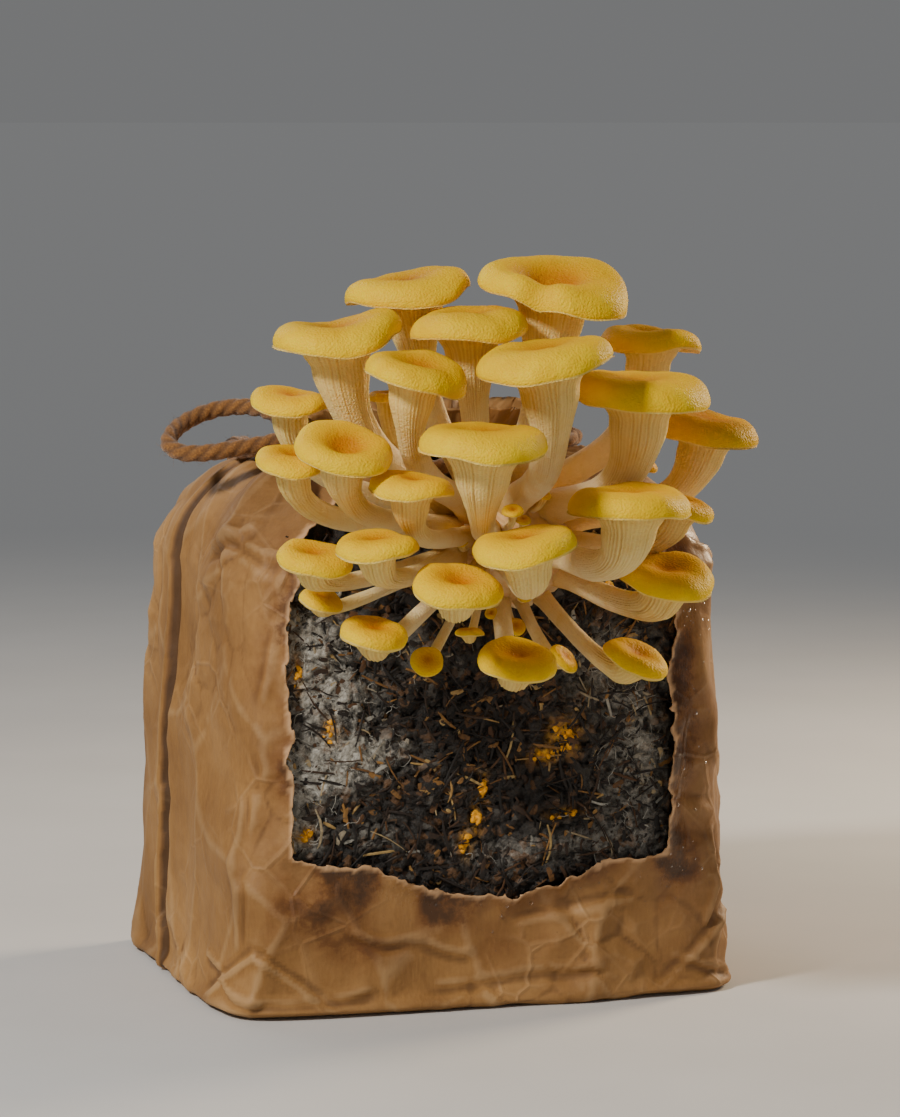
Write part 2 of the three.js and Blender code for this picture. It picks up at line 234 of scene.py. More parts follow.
def unit(v):
    v = np.asarray(v, float)
    return v / np.maximum(np.linalg.norm(v, axis=-1, keepdims=True), 1e-9)


def travelled(points):
    """How far along a line each of its points is."""
    return np.concatenate([[0], np.cumsum(np.linalg.norm(np.diff(points, axis=0), axis=1))])


def at_lengths(path, wanted):
    gone = travelled(path)
    return np.stack([np.interp(wanted, gone, path[:, k]) for k in range(3)], axis=-1)


def spline(points, count):
    """Evenly spaced points on a smooth curve through the points."""
    points = np.asarray(points, float)
    ends = np.concatenate([[2 * points[0] - points[1]], points, [2 * points[-1] - points[-2]]])
    fine = []
    for i in range(1, len(ends) - 2):
        a, b, c, d = ends[i - 1], ends[i], ends[i + 1], ends[i + 2]
        t = np.linspace(0, 1, 24, endpoint=False)[:, None]
        fine.append(0.5 * (2 * b + (c - a) * t + (2 * a - 5 * b + 4 * c - d) * t**2
                           + (3 * b - a - 3 * c + d) * t**3))
    fine = np.concatenate(fine + [points[-1:]])
    return at_lengths(fine, np.linspace(0, travelled(fine)[-1], count))


def curve_length(points):
    return float(np.linalg.norm(np.diff(points, axis=0), axis=1).sum())


def carried_frames(path, first_side):
    """Tangents, sides and thirds along a path, turned as little as possible."""
    tangents = unit(np.gradient(path, axis=0))
    sides = np.zeros_like(path)
    side = first_side - tangents[0] * (first_side @ tangents[0])
    sides[0] = unit(side)
    for i in range(1, len(path)):
        side = sides[i - 1] - tangents[i] * (sides[i - 1] @ tangents[i])
        sides[i] = unit(side)
    return tangents, sides, np.cross(tangents, sides)


def ring_round(sides, thirds, angle):
    """Unit vectors at each angle round each point of a path."""
    cos, sin = np.cos(angle)[None, :, None], np.sin(angle)[None, :, None]
    return sides[:, None] * cos + thirds[:, None] * sin


def capped(rows, columns):
    """Faces of a grid of rings that a point closes at each end, after its rings."""
    count, ring = rows * columns, np.arange(columns)
    return [grid_faces(rows, columns), fan_faces(count, ring, flip=True),
            fan_faces(count + 1, ring + count - columns)]


def thin_tube(path, width, first_side):
    """An open square tube along a path, for a fibre or a thread."""
    _, sides, thirds = carried_frames(path, first_side)
    ring = ring_round(sides, thirds, np.arange(4) * math.pi / 2)
    return (path[:, None] + ring * width[:, None, None]).reshape(-1, 3), [grid_faces(len(path), 4)]


def finish_piece(piece, material, slot, *nodes):
    piece.data.materials.append(material)
    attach(piece, "root")
    if nodes:
        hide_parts(*nodes)


def add_parts(name, parts, material, slot, *nodes, smooth=True):
    """One piece of several (points, faces, attributes)."""
    points, faces, attributes = join_parts(parts)
    piece = make_mesh(name, points, faces, smooth, **attributes)
    finish_piece(piece, material, slot, *nodes)
    return piece


# ---- camera --------------------------------------------------------------

def add_camera():
    a, e = math.radians(CAMERA_AZIMUTH), math.radians(CAMERA_ELEVATION)
    back = Vector((math.sin(a) * math.cos(e), -math.cos(a) * math.cos(e), math.sin(e)))
    data = bpy.data.cameras.new("camera")
    data.sensor_width = 36
    data.sensor_fit = "AUTO"
    data.lens = CAMERA_LENS
    data.clip_start = 0.05
    data.clip_end = 20
    camera = bpy.data.objects.new("camera", data)
    bpy.context.scene.collection.objects.link(camera)
    camera.location = (Vector(CAMERA_TARGET) + back * CAMERA_DISTANCE) * MM
    camera.rotation_euler = back.to_track_quat("Z", "Y").to_euler()
    bpy.context.scene.camera = camera


add_camera()


# ---- material helpers ----------------------------------------------------

class Nodes:
    """Short names for building a material's nodes."""

    def __init__(self, name):
        self.material = bpy.data.materials.new(name)
        self.material.use_nodes = True
        self.tree = self.material.node_tree
        self.shader = self.tree.nodes["Principled BSDF"]
        self.coords = self.tree.nodes.new("ShaderNodeTexCoord").outputs["Object"]

    def add(self, kind, **settings):
        node = self.tree.nodes.new("ShaderNode" + kind)
        for key, value in settings.items():
            setattr(node, key, value)
        return node

    def link(self, source, target):
        self.tree.links.new(source, target)

    def put(self, target, value):
        if isinstance(value, bpy.types.NodeSocket):
            self.link(value, target)
        else:
            target.default_value = value

    def attribute(self, name):
        return self.add("Attribute", attribute_name=name).outputs["Fac"]

    def stretched(self, scale):
        node = self.add("Mapping")
        self.link(self.coords, node.inputs["Vector"])
        node.inputs["Scale"].default_value = scale
        return node.outputs["Vector"]

    def noise(self, scale, detail=4, roughness=0.55, vector=None, distortion=0.0):
        node = self.add("TexNoise")
        self.link(vector or self.coords, node.inputs["Vector"])
        node.inputs["Scale"].default_value = scale
        node.inputs["Detail"].default_value = detail
        node.inputs["Roughness"].default_value = roughness
        node.inputs["Distortion"].default_value = distortion
        return node.outputs["Fac"]

    def cells(self, scale, feature="F1", output="Distance"):
        node = self.add("TexVoronoi", feature=feature)
        self.link(self.coords, node.inputs["Vector"])
        node.inputs["Scale"].default_value = scale
        return node.outputs[output]

    def ramp(self, value, stops):
        node = self.add("ValToRGB")
        self.link(value, node.inputs["Fac"])
        ramp = node.color_ramp
        while len(ramp.elements) < len(stops):
            ramp.elements.new(0.5)
        for element, (position, colour) in zip(ramp.elements, stops):
            element.position = position
            element.color = (*colour, 1)
        return node.outputs["Color"]

    def mix(self, share, first, second):
        node = self.add("Mix", data_type="RGBA", blend_type="MIX")
        self.put(node.inputs[0], share)
        for socket, value in ((node.inputs[6], first), (node.inputs[7], second)):
            self.put(socket, value if isinstance(value, bpy.types.NodeSocket) else (*value, 1))
        return node.outputs[2]

    def math(self, operation, first, second=0.0, clamp=False):
        node = self.add("Math", operation=operation, use_clamp=clamp)
        self.put(node.inputs[0], first)
        self.put(node.inputs[1], second)
        return node.outputs[0]

    def span(self, value, low, high, to_low=0.0, to_high=1.0):
        node = self.add("MapRange", clamp=True)
        self.put(node.inputs["Value"], value)
        for key, number in (("From Min", low), ("From Max", high), ("To Min", to_low), ("To Max", to_high)):
            node.inputs[key].default_value = number
        return node.outputs["Result"]

    def bump(self, *layers):
        """Bump from (height, strength, distance in mm) layers, one on the other."""
        normal = None
        for height, strength, distance in layers:
            node = self.add("Bump")
            self.link(height, node.inputs["Height"])
            node.inputs["Strength"].default_value = strength
            node.inputs["Distance"].default_value = distance * MM
            if normal is not None:
                self.link(normal, node.inputs["Normal"])
            normal = node.outputs["Normal"]
        self.link(normal, self.shader.inputs["Normal"])

    def set(self, **values):
        for key, value in values.items():
            self.put(self.shader.inputs[key.replace("_", " ")], value)


def rgb(code):
    """A colour in linear light from its usual hexadecimal code."""
    parts = [int(code[i:i + 2], 16) / 255 for i in (0, 2, 4)]
    return tuple(p / 12.92 if p <= 0.04045 else ((p + 0.055) / 1.055) ** 2.4 for p in parts)


# ---- materials -----------------------------------------------------------

def mushroom_material():
    """Lemon caps and cream stems. The cap, gill and radial attributes say where. Painted warm light turns
    the right-hand mushrooms orange, and painted shade darkens the grooves between the stem's ribs.
    """
    n = Nodes("mushroom_flesh")
    cap, radial, down = n.attribute("cap"), n.attribute("radial"), n.attribute("down")
    painted_warm_light, rib = n.attribute("painted_warm_light"), n.attribute("rib")
    patches = n.noise(85, 4, 0.6)
    fine = n.noise(1300, 2, 0.5)
    lemon = n.ramp(radial, [
        (0.0, rgb("b87200")), (0.24, rgb("d09600")), (0.5, rgb("e0ae00")), (0.84, rgb("ebc000")),
        (1.0, rgb("f2cc00")),
    ])
    deeper = n.mix(n.span(patches, 0.42, 0.72, 0.0, 0.4), lemon, rgb("d99c00"))
    # Painted warm light: caps towards the right, and a little those lower down, are turned orange.
    warm_lit_cap = n.mix(n.span(painted_warm_light, 0.0, 1.0, 0.0, 0.75), deeper, rgb("cf7f00"))
    speckled = n.mix(n.span(fine, 0.6, 0.8, 0.0, 0.3), warm_lit_cap, rgb("ffe000"))
    stem = n.ramp(down, [
        (0.0, rgb("efd076")), (0.2, rgb("f3dc96")), (0.5, rgb("f5e3b2")), (0.85, rgb("eccb86")),
        (1.0, rgb("d69f4e")),
    ])
    # Painted warm light on the stems too.
    stem = n.mix(n.span(painted_warm_light, 0.1, 1.0, 0.0, 0.5), stem, rgb("e2ac62"))
    # Painted shade in the grooves between the ribs down the stem.
    stem = n.mix(n.span(rib, 0.05, 0.75, 0.5, 0.0), stem, rgb("bd8126"))
    streaks = n.noise(240, 3, 0.6, vector=n.stretched((1, 1, 0.18)))
    stem = n.mix(n.span(streaks, 0.5, 0.75, 0.0, 0.35), stem, rgb("e0b04c"))
    colour = n.mix(cap, stem, speckled)
    n.set(Base_Color=colour, Roughness=n.span(fine, 0.3, 0.7, 0.46, 0.62))
    n.set(Subsurface_Weight=0.1, Subsurface_Radius=(1.0, 0.55, 0.04), Subsurface_Scale=0.003)
    n.set(Specular_IOR_Level=0.12)
    grain = n.cells(1500, "SMOOTH_F1")
    skin = n.noise(420, 4, 0.55)
    n.bump((skin, 0.2, 0.6), (grain, 0.65, 0.5), (fine, 0.2, 0.25))
    return n.material


def base_material():
    n = Nodes("stem_flesh")
    shade = n.attribute("shade")
    broad, fine = n.noise(70, 4, 0.6), n.noise(600, 4, 0.6)
    colour = n.ramp(broad, [(0.3, rgb("d9a862")), (0.55, rgb("e8c38a")), (0.8, rgb("efd3a0"))])
    colour = n.mix(n.span(shade, 0.0, 1.0, 0.0, 0.7), colour, rgb("b8742e"))
    n.set(Base_Color=colour, Roughness=0.55)
    n.set(Subsurface_Weight=0.15, Subsurface_Radius=(1.0, 0.45, 0.1), Subsurface_Scale=0.003)
    n.bump((fine, 0.3, 0.5), (n.noise(2200, 2, 0.5), 0.15, 0.2))
    return n.material


def paper_material():
    """Kraft paper with fibres, damp stains and torn edges. Its crease marks are pale on the ridges, partly
    wear and partly painted highlight, and dark in the hollows and grooves, which is painted shade.
    """
    n = Nodes("kraft_paper")
    crease_wear_and_shading, stain, torn, wet = (n.attribute(k) for k in ("crease_wear_and_shading", "stain", "torn", "wet"))
    fibres = n.noise(900, 3, 0.65, vector=n.stretched((1, 1, 0.22)))
    cross = n.noise(760, 3, 0.65, vector=n.stretched((0.25, 0.25, 1)))
    cloudy = n.noise(26, 5, 0.6)
    specks = n.cells(520, "F1")
    colour = n.ramp(cloudy, [
        (0.28, rgb("7e5629")), (0.46, rgb("956a36")), (0.6, rgb("a87c47")), (0.76, rgb("bb915d")),
    ])
    colour = n.mix(n.span(fibres, 0.35, 0.75, 0.0, 0.25), colour, rgb("c4965a"))
    colour = n.mix(n.span(cross, 0.5, 0.8, 0.0, 0.28), colour, rgb("9a6b3e"))
    colour = n.mix(n.span(specks, 0.0, 0.16, 0.42, 0.0), colour, rgb("7c5027"))
    # Pale on the crease ridges: partly wear, partly painted highlight.
    colour = n.mix(n.span(crease_wear_and_shading, 0.25, 1.3, 0.0, 0.28), colour, rgb("dab787"))
    # Painted shade in the crease hollows, darkest in the pleats' grooves.
    colour = n.mix(n.span(crease_wear_and_shading, -1.2, -0.2, 0.6, 0.0), colour, rgb("523110"))
    colour = n.mix(n.span(crease_wear_and_shading, -2.6, -1.2, 0.7, 0.0), colour, rgb("2f1c0d"))
    colour = n.mix(n.span(n.noise(16, 3, 0.5), 0.35, 0.68, 0.0, 0.42), colour, rgb("64411c"))
    thin = n.span(n.cells(50, "DISTANCE_TO_EDGE"), 0.0, 0.05, 1.0, 0.0)
    thin = n.math("MULTIPLY", thin, n.span(n.noise(24, 3, 0.5), 0.46, 0.64))
    colour = n.mix(n.span(thin, 0.0, 1.0, 0.0, 0.16), colour, rgb("d8b080"))
    blotch = n.math("MULTIPLY", stain, n.span(n.noise(120, 5, 0.7), 0.3, 0.62, 0.35, 1.15), clamp=True)
    colour = n.mix(n.span(blotch, 0.04, 0.55, 0.0, 0.85), colour, rgb("6e4013"))
    colour = n.mix(n.span(blotch, 0.42, 0.9, 0.0, 0.75), colour, rgb("2c1808"))
    colour = n.mix(torn, colour, rgb("caa074"))
    rough = n.math("SUBTRACT", n.span(fibres, 0.2, 0.8, 0.56, 0.76), n.span(wet, 0.0, 1.0, 0.0, 0.42))
    n.set(Base_Color=colour, Roughness=rough)
    n.set(Specular_IOR_Level=0.42)
    n.bump(
        (thin, 0.5, 0.7), (n.cells(95, "F1"), 0.3, 1.2), (n.noise(170, 5, 0.65), 0.4, 0.8),
        (fibres, 0.28, 0.25), (cross, 0.22, 0.2),
    )
    return n.material


def substrate_material():
    """Dark damp compost with white mycelium and amber bits, from attributes, and painted shade in its
    deepest hollows.
    """
    n = Nodes("substrate")
    mould, amber, lift = (n.attribute(k) for k in ("mould", "amber", "lift"))
    grain, coarse = n.noise(420, 5, 0.7), n.cells(330, "F1", output="Color")
    bits = n.add("SeparateColor")
    n.link(coarse, bits.inputs[0])
    dark = n.ramp(grain, [
        (0.3, rgb("080604")), (0.5, rgb("17100a")), (0.68, rgb("2f2113")), (0.85, rgb("523820")),
    ])
    dark = n.mix(n.span(bits.outputs[0], 0.78, 0.86, 0.0, 0.7), dark, rgb("6b4722"))
    dark = n.mix(n.span(bits.outputs[1], 0.93, 0.96, 0.0, 0.35), dark, rgb("77726a"))
    web = n.noise(300, 6, 0.75, distortion=0.6)
    cover = n.math("MULTIPLY", mould, n.span(web, 0.38, 0.56, 0.0, 1.3), clamp=True)
    white = n.ramp(grain, [(0.3, rgb("625e52")), (0.5, rgb("a8a499")), (0.75, rgb("e4e2d8"))])
    colour = n.mix(cover, dark, white)
    golden = n.math("MULTIPLY", amber, n.span(n.noise(260, 4, 0.6), 0.35, 0.55, 0.0, 1.2), clamp=True)
    colour = n.mix(golden, colour, n.ramp(grain, [(0.3, rgb("a8660a")), (0.7, rgb("f0b428"))]))
    # Painted shade: the deepest hollows and cracks of the face are turned near black.
    colour = n.mix(n.span(lift, -1.0, -0.1, 0.75, 0.0), colour, rgb("060504"))
    n.set(Base_Color=colour, Roughness=n.span(grain, 0.3, 0.8, 0.35, 0.8), Specular_IOR_Level=0.5)
    n.bump((n.noise(300, 6, 0.75), 1.0, 1.4), (n.cells(1100, "F1"), 0.4, 0.4))
    return n.material


def chip_material():
    """Straw, bark and fibres: the kind attribute picks the colour."""
    n = Nodes("substrate_chips")
    kind = n.attribute("kind")
    grain = n.noise(700, 4, 0.6)
    colour = n.ramp(kind, [
        (0.0, rgb("0b0805")), (0.3, rgb("21150b")), (0.5, rgb("5c3a18")), (0.66, rgb("9a6f34")),
        (0.78, rgb("b1965f")), (0.86, rgb("8d8a80")), (0.93, rgb("cfcdc2")), (1.0, rgb("eda400")),
    ])
    colour = n.mix(n.span(grain, 0.4, 0.75, 0.0, 0.55), colour, rgb("1a120b"))
    n.set(Base_Color=colour, Roughness=0.62, Specular_IOR_Level=0.45)
    n.bump((grain, 0.5, 0.3))
    return n.material


def jute_material():
    n = Nodes("jute")
    ply_shading = n.attribute("ply_shading")
    fibres = n.noise(1500, 4, 0.7)
    colour = n.ramp(fibres, [
        (0.25, rgb("5c3a14")), (0.5, rgb("875722")), (0.72, rgb("ad7b38")), (0.9, rgb("cfa058")),
    ])
    # Painted shade in the grooves between the plies.
    colour = n.mix(n.span(ply_shading, 0.0, 1.0, 0.7, 0.0), colour, rgb("4a2f1a"))
    n.set(Base_Color=colour, Roughness=0.85, Sheen_Weight=0.25, Sheen_Roughness=0.5)
    n.bump((fibres, 0.7, 0.35), (n.noise(4200, 2, 0.6), 0.4, 0.15))
    return n.material


def water_material():
    n = Nodes("water")
    drops = n.noise(800, 2, 0.5)
    n.set(Base_Color=n.ramp(drops, [(0.0, (0.95, 0.9, 0.84)), (1.0, (1.0, 0.98, 0.95))]))
    n.set(Roughness=n.span(drops, 0.2, 0.8, 0.02, 0.06), IOR=1.33, Transmission_Weight=1.0)
    return n.material


def floor_material():
    """Pale and plain, passing into the backdrop's own light far away."""
    n = Nodes("floor")
    soft = n.noise(9, 4, 0.5)
    place = n.add("VectorMath", operation="LENGTH")
    n.link(n.coords, place.inputs[0])
    far = n.span(place.outputs["Value"], 0.35, 1.5)
    near = n.ramp(soft, [(0.3, (0.60, 0.595, 0.585)), (0.7, (0.64, 0.635, 0.625))])
    n.set(Base_Color=n.mix(far, near, (0.0, 0.0, 0.0)), Roughness=0.8, Specular_IOR_Level=0.1)
    n.set(Emission_Color=(*BACKDROP, 1), Emission_Strength=n.span(far, 0.0, 1.0, 0.0, BACKDROP_STRENGTH))
    return n.material


# ---- twine ---------------------------------------------------------------

TWINE_ROUTES = {
    "twine_loop_left": [
        (-53, -18, 196), (-56, -14, 199), (-60, -8, 202), (-64, -2, 203), (-69, 3, 203),
        (-75, 6, 202), (-82, 6, 200), (-89, 3, 197), (-94, -3, 194), (-96, -9, 191),
        (-93, -15, 189), (-87, -19, 189), (-80, -22, 190), (-73, -23, 191), (-67, -24, 192),
        (-61, -24, 193), (-57, -22, 193),
    ],
    "twine_loop_right": [
        (-46, -23, 193), (-40, -27, 194), (-33, -29, 194), (-25, -29, 193), (-18, -30, 193),
        (-11, -31, 192), (-5, -35, 191), (-1, -41, 190), (-2, -48, 188), (-7, -53, 186),
        (-14, -55, 185), (-21, -54, 186), (-28, -51, 187), (-35, -46, 188), (-41, -40, 189),
        (-46, -33, 190), (-49, -27, 191),
    ],
    "twine_tail_back": [
        (-56, -16, 189), (-60, -13, 189), (-64, -8, 189), (-67, -2, 188), (-68, 4, 188),
        (-68, 10, 188), (-67, 16, 188), (-64, 22, 188), (-61, 28, 187), (-58, 34, 187),
        (-56, 40, 186), (-56, 46, 184), (-57, 52, 181),
    ],
    "twine_tail_front": [
        (-55, -26, 188), (-57, -30, 189), (-59, -34, 189), (-60, -39, 189), (-61, -44, 188),
        (-62, -49, 186), (-63, -54, 184), (-64, -58, 181), (-65, -62, 178),
    ],
}


def ply_surface(angle, twist, radius):
    """Radius of a three-ply twine at an angle round it, and how deep the groove is, which also sets painted
    shade in the grooves.
    """
    turned = (angle + twist) * PLIES / 2
    ridge = np.abs(np.cos(turned))
    return radius * (0.80 + 0.20 * ridge ** 0.7), ridge


def closed_tube(count, around):
    """Faces of a tube whose last ring meets its first."""
    last, first = np.arange(around) + (count - 1) * around, np.arange(around)
    closing = np.stack([last, np.roll(last, -1), np.roll(first, -1), first], axis=-1)
    return [grid_faces(count, around), closing]


def twine_tube(path, closed=False, fray=0.0, seed=0, radius=TWINE_DIAMETER / 2):
    """Points, faces and attributes of twine along a fine path."""
    around, count = TWINE_AROUND, len(path)
    tangents, sides, thirds = carried_frames(path, np.array([0.3, 0.2, 1.0]))
    if closed:
        tangents = unit(np.roll(path, -1, axis=0) - np.roll(path, 1, axis=0))
        thirds = unit(np.cross(tangents, np.array([0, 0, 1.0])))
        sides = np.cross(thirds, tangents)
    step = travelled(path)
    turns = step[-1] / PLY_PITCH
    pitch = step[-1] / max(round(turns), 1) if closed else PLY_PITCH
    angle = np.arange(around) * 2 * math.pi / around
    reach, ridge = ply_surface(angle[None, :], step[:, None] / pitch * 2 * math.pi, radius)
    if fray:
        swell = smooth_step(step[-1] - fray, step[-1], step)[:, None]
        reach = reach * (1 + 0.12 * swell)
    ring = ring_round(sides, thirds, angle)
    points = path[:, None] + ring * reach[..., None]
    rough = fractal(points, 1.3, 2, 300 + seed) * 0.12
    points = points + ring * np.minimum(rough, 0.12)[..., None]
    # The ply's ridge, for painted shade in its grooves.
    points, ply_shading = points.reshape(-1, 3), ridge.ravel()
    if closed:
        return points, closed_tube(count, around), {"ply_shading": ply_shading}
    points = np.concatenate([points, path[:1], path[-1:]])
    return points, capped(count, around), {"ply_shading": np.concatenate([ply_shading, [0.5, 0.5]])}


def fuzz(path, amount, seed, radius=TWINE_DIAMETER / 2, reach=2.6):
    """Fine loose fibres standing off a twine path, as thin three-sided hairs."""
    rng = np.random.default_rng(SEED + seed)
    tangents, sides, thirds = carried_frames(path, np.array([0.3, 0.2, 1.0]))
    length = curve_length(path)
    count = int(length * amount)
    at = rng.integers(1, len(path) - 1, count)
    angle = rng.uniform(0, 2 * math.pi, count)
    out = sides[at] * np.cos(angle)[:, None] + thirds[at] * np.sin(angle)[:, None]
    along = tangents[at] * rng.choice([-1, 1], count)[:, None]
    size = rng.uniform(0.5, 1.0, count) * reach
    start = path[at] + out * radius * 0.8
    bend = unit(out * rng.uniform(0.25, 0.9, count)[:, None]
                + along * rng.uniform(0.4, 1.2, count)[:, None])
    middle = start + bend * size[:, None] * 0.7 + rng.normal(0, 0.22, (count, 3))
    tip = middle + (bend + rng.normal(0, 0.5, (count, 3))) * size[:, None] * 0.6
    points = []
    for centre, share in ((start, 1.0), (middle, 0.8), (tip, 0.25)):
        for turn in range(3):
            a = turn * 2 * math.pi / 3
            side = np.cross(bend, out)
            points.append(centre + (side * math.cos(a) + out * math.sin(a)) * HAIR_WIDTH * share)
    points = np.stack(points, axis=1).reshape(-1, 3)
    faces = []
    for ring in range(2):
        for turn in range(3):
            a, b = ring * 3 + turn, ring * 3 + (turn + 1) % 3
            faces.append([a, b, b + 3, a + 3])
    quads = (np.arange(count)[:, None, None] * 9 + np.array(faces)[None]).reshape(-1, 4)
    return points, quads, {"ply_shading": np.full(len(points), 0.85)}


def frayed_end(path, seed, length):
    """A brush of fibres at the cut end of a tail."""
    rng = np.random.default_rng(SEED + 40 + seed)
    end, direction = path[-1], unit(path[-1] - path[-4])
    side = unit(np.cross(direction, [0, 0.3, 1]))
    third = np.cross(direction, side)
    parts = []
    for _ in range(FRAYED_STRANDS):
        angle, out = rng.uniform(0, 2 * math.pi), rng.uniform(0.2, 2.3)
        start = end - direction * 1.5 + (side * math.cos(angle) + third * math.sin(angle)) * out * 0.9
        spread = (side * math.cos(angle) + third * math.sin(angle)) * rng.uniform(0.1, 0.5)
        tip = start + unit(direction + spread) * length * rng.uniform(0.4, 0.9)
        line = spline([start, (start + tip) / 2 + rng.normal(0, 0.3, 3), tip], 6)
        width = np.linspace(0.28, 0.08, 6)
        points, faces = thin_tube(line, width, side)
        parts.append((points, faces, {"ply_shading": np.full(len(points), 0.8)}))
    return join_parts(parts)


def add_twine(jute):
    knot_low, knot_high = box_mm("twine_knot")
    knot = (knot_low + knot_high) / 2
    for index, (name, route) in enumerate(TWINE_ROUTES.items()):
        route = np.array(route, float)
        path = spline(route, int(curve_length(route) / 0.6))
        tail = "tail" in name
        points, faces, attributes = twine_tube(path, fray=8.0 if tail else 0.0, seed=index)
        piece = make_mesh(name + "_jute", points, faces, **attributes)
        loose = [fuzz(path, 2.6, index)] + ([frayed_end(path, index, length=4.0)] if tail else [])
        fibres = add_parts(name + "_fibres", loose, jute, "jute")
        finish_piece(piece, jute, "jute", name)
    add_wrap(jute)
    add_knot(jute, knot, knot_high - knot_low)


def add_wrap(jute):
    """The turn of twine that gathers the neck, along the middle of its CAD ring."""
    points, _ = node_mesh("twine_wrap")
    low, high = points.min(0), points.max(0)
    middle = (low + high) / 2
    angle = np.arctan2(points[:, 1] - middle[1], (points[:, 0] - middle[0]) * 0.4)
    turns = np.linspace(-math.pi, math.pi, WRAP_TURNS + 1)[:-1]
    centres = []
    for turn in turns:
        near = np.abs((angle - turn + math.pi) % (2 * math.pi) - math.pi) < 0.16
        ring = points[near]
        centres.append([*((ring.min(0) + ring.max(0)) / 2)[:2], middle[2]])
    loop = np.array(centres + centres[:1])
    path = spline(loop, WRAP_POINTS)[:-1]
    path[:, 2] += 0.5 * np.sin(np.linspace(0, 4 * math.pi, len(path)))
    parts = [twine_tube(path, closed=True, seed=9, radius=WRAP_RADIUS), fuzz(path, 1.4, 9)]
    add_parts("twine_wrap_jute", parts, jute, "jute", "twine_wrap")


def add_knot(jute, middle, size):
    """A bow's knot: a band of twine wound twice over the crossing strands."""
    outward = unit([middle[0], middle[1] * 2.2, 0])
    up = np.array([0, 0, 1.0])
    side = np.cross(up, outward)
    parts = []
    for index, (tilt, shift, across) in enumerate(KNOT_BANDS):
        angle = np.linspace(0, 2 * math.pi, KNOT_STEPS + 1)[:-1]
        turned = side * math.cos(tilt) + up * math.sin(tilt)
        other = np.cross(outward, turned)
        path = (middle + other * shift
                + np.cos(angle)[:, None] * outward * across
                + np.sin(angle)[:, None] * turned * across * 1.05)
        path = path + other * np.sin(angle)[:, None] * 0.6
        tangents = unit(np.roll(path, -1, axis=0) - np.roll(path, 1, axis=0))
        thirds = unit(np.cross(tangents, other))
        sides = np.cross(thirds, tangents)
        step = np.arange(KNOT_STEPS) / KNOT_STEPS * 2 * math.pi
        a = np.arange(KNOT_AROUND) * 2 * math.pi / KNOT_AROUND
        reach, ridge = ply_surface(a[None, :], step[:, None] * 2, KNOT_TWINE_RADIUS)
        points = (path[:, None] + ring_round(sides, thirds, a) * reach[..., None]).reshape(-1, 3)
        parts.append((points, closed_tube(KNOT_STEPS, KNOT_AROUND), {"ply_shading": ridge.ravel()}))
        parts.append(fuzz(path, 1.6, 20 + index, radius=2.6, reach=2.0))
    points, faces, attributes = join_parts(parts)
    # The knot keeps to its CAD solid, 14 mm across.
    away = points - middle
    distance = np.linalg.norm(away, axis=1, keepdims=True)
    limit = size.max() / 2 + 0.6
    points = middle + away * np.minimum(1, limit / np.maximum(distance, 1e-6))
    piece = make_mesh("twine_knot_jute", points, faces, **attributes)
    finish_piece(piece, jute, "jute", "twine_knot")


add_twine(jute_material())


# ---- mushrooms -----------------------------------------------------------

# How part.mjs turns a cap: shares of the cap's radius, and of the stem's rise.
CAP_THICKNESS = 0.45
FLARE_RADIUS = 0.46
FLARE_REACH = 1.3
STEM_SAG = 0.4
ROOT_PULL = 0.3

# The cap's own section: shares of its radius outwards and of its height up,
# from the middle of the top, round the rolled rim, to where the gills start.
CAP_SECTION = [
    (0.0, 0.82), (0.12, 0.83), (0.26, 0.86), (0.4, 0.89), (0.54, 0.895), (0.66, 0.87),
    (0.77, 0.80), (0.87, 0.68), (0.94, 0.51), (0.984, 0.32), (1.0, 0.15), (0.995, 0.04),
    (0.982, 0.0),
]
CAP_FULLNESS = 0.955     # of the CAD cap's radius, before the rim wanders out
STEM_FULLNESS = 0.79

# Dimples, as a share of the radius deep, and folds in a rim: at an angle from
# +X in degrees, so wide, drawn in and raised by shares of the radius.
DIMPLES = {
    "mushroom_top_right": 0.42, "mushroom_left_dimple": 0.3, "mushroom_round_front": 0.16,
    "mushroom_bottom_middle": 0.12, "mushroom_left_outer": 0.14, "mushroom_inner_left": 0.14,
    "mushroom_left_low": 0.12, "mushroom_bottom_left": 0.12, "mushroom_bottom_small": 0.05,
}
RIM_FOLDS = {
    "mushroom_top_right": [(-122, 16, -0.12, -0.1), (-60, 40, 0.02, 0.02)],
    "mushroom_upper_left": [(-38, 26, -0.1, 0.16), (20, 30, 0.06, 0.1)],
    "mushroom_top_left": [(-30, 30, 0.02, 0.1)],
    "mushroom_upper_middle": [(-80, 34, 0.02, -0.05)],
    "mushroom_left_middle": [(-20, 34, 0.05, 0.05)],
    "mushroom_right_dome": [(-30, 40, 0.03, -0.06)],
    "mushroom_far_right": [(-40, 36, 0.03, -0.05)],
    "mushroom_under_centre": [(-100, 30, 0.03, -0.03)],
}

# Waves round every rim: how many, and how far out and up each goes.
RIM_WAVES = [
    (1, 0.018, 0.02), (2, 0.026, 0.02), (3, 0.018, 0.022), (5, 0.01, 0.012), (8, 0.004, 0.006),
]

# How much further the back of a rim stands up than its front, as a share of the radius.
RIM_TILTS = {
    "mushroom_top_right": 0.14, "mushroom_left_dimple": 0.08, "mushroom_round_front": 0.06,
    "mushroom_inner_left": 0.08, "mushroom_bottom_middle": 0.06, "mushroom_left_outer": 0.04,
}

base_low, base_high = box_mm("cluster_base")
BASE_MIDDLE = np.array([(base_low[0] + base_high[0]) / 2, base_high[1], (base_low[2] + base_high[2]) / 2])
BASE_HALF = np.array([
    (base_high[0] - base_low[0]) / 2, base_high[1] - base_low[1], (base_high[2] - base_low[2]) / 2,
])


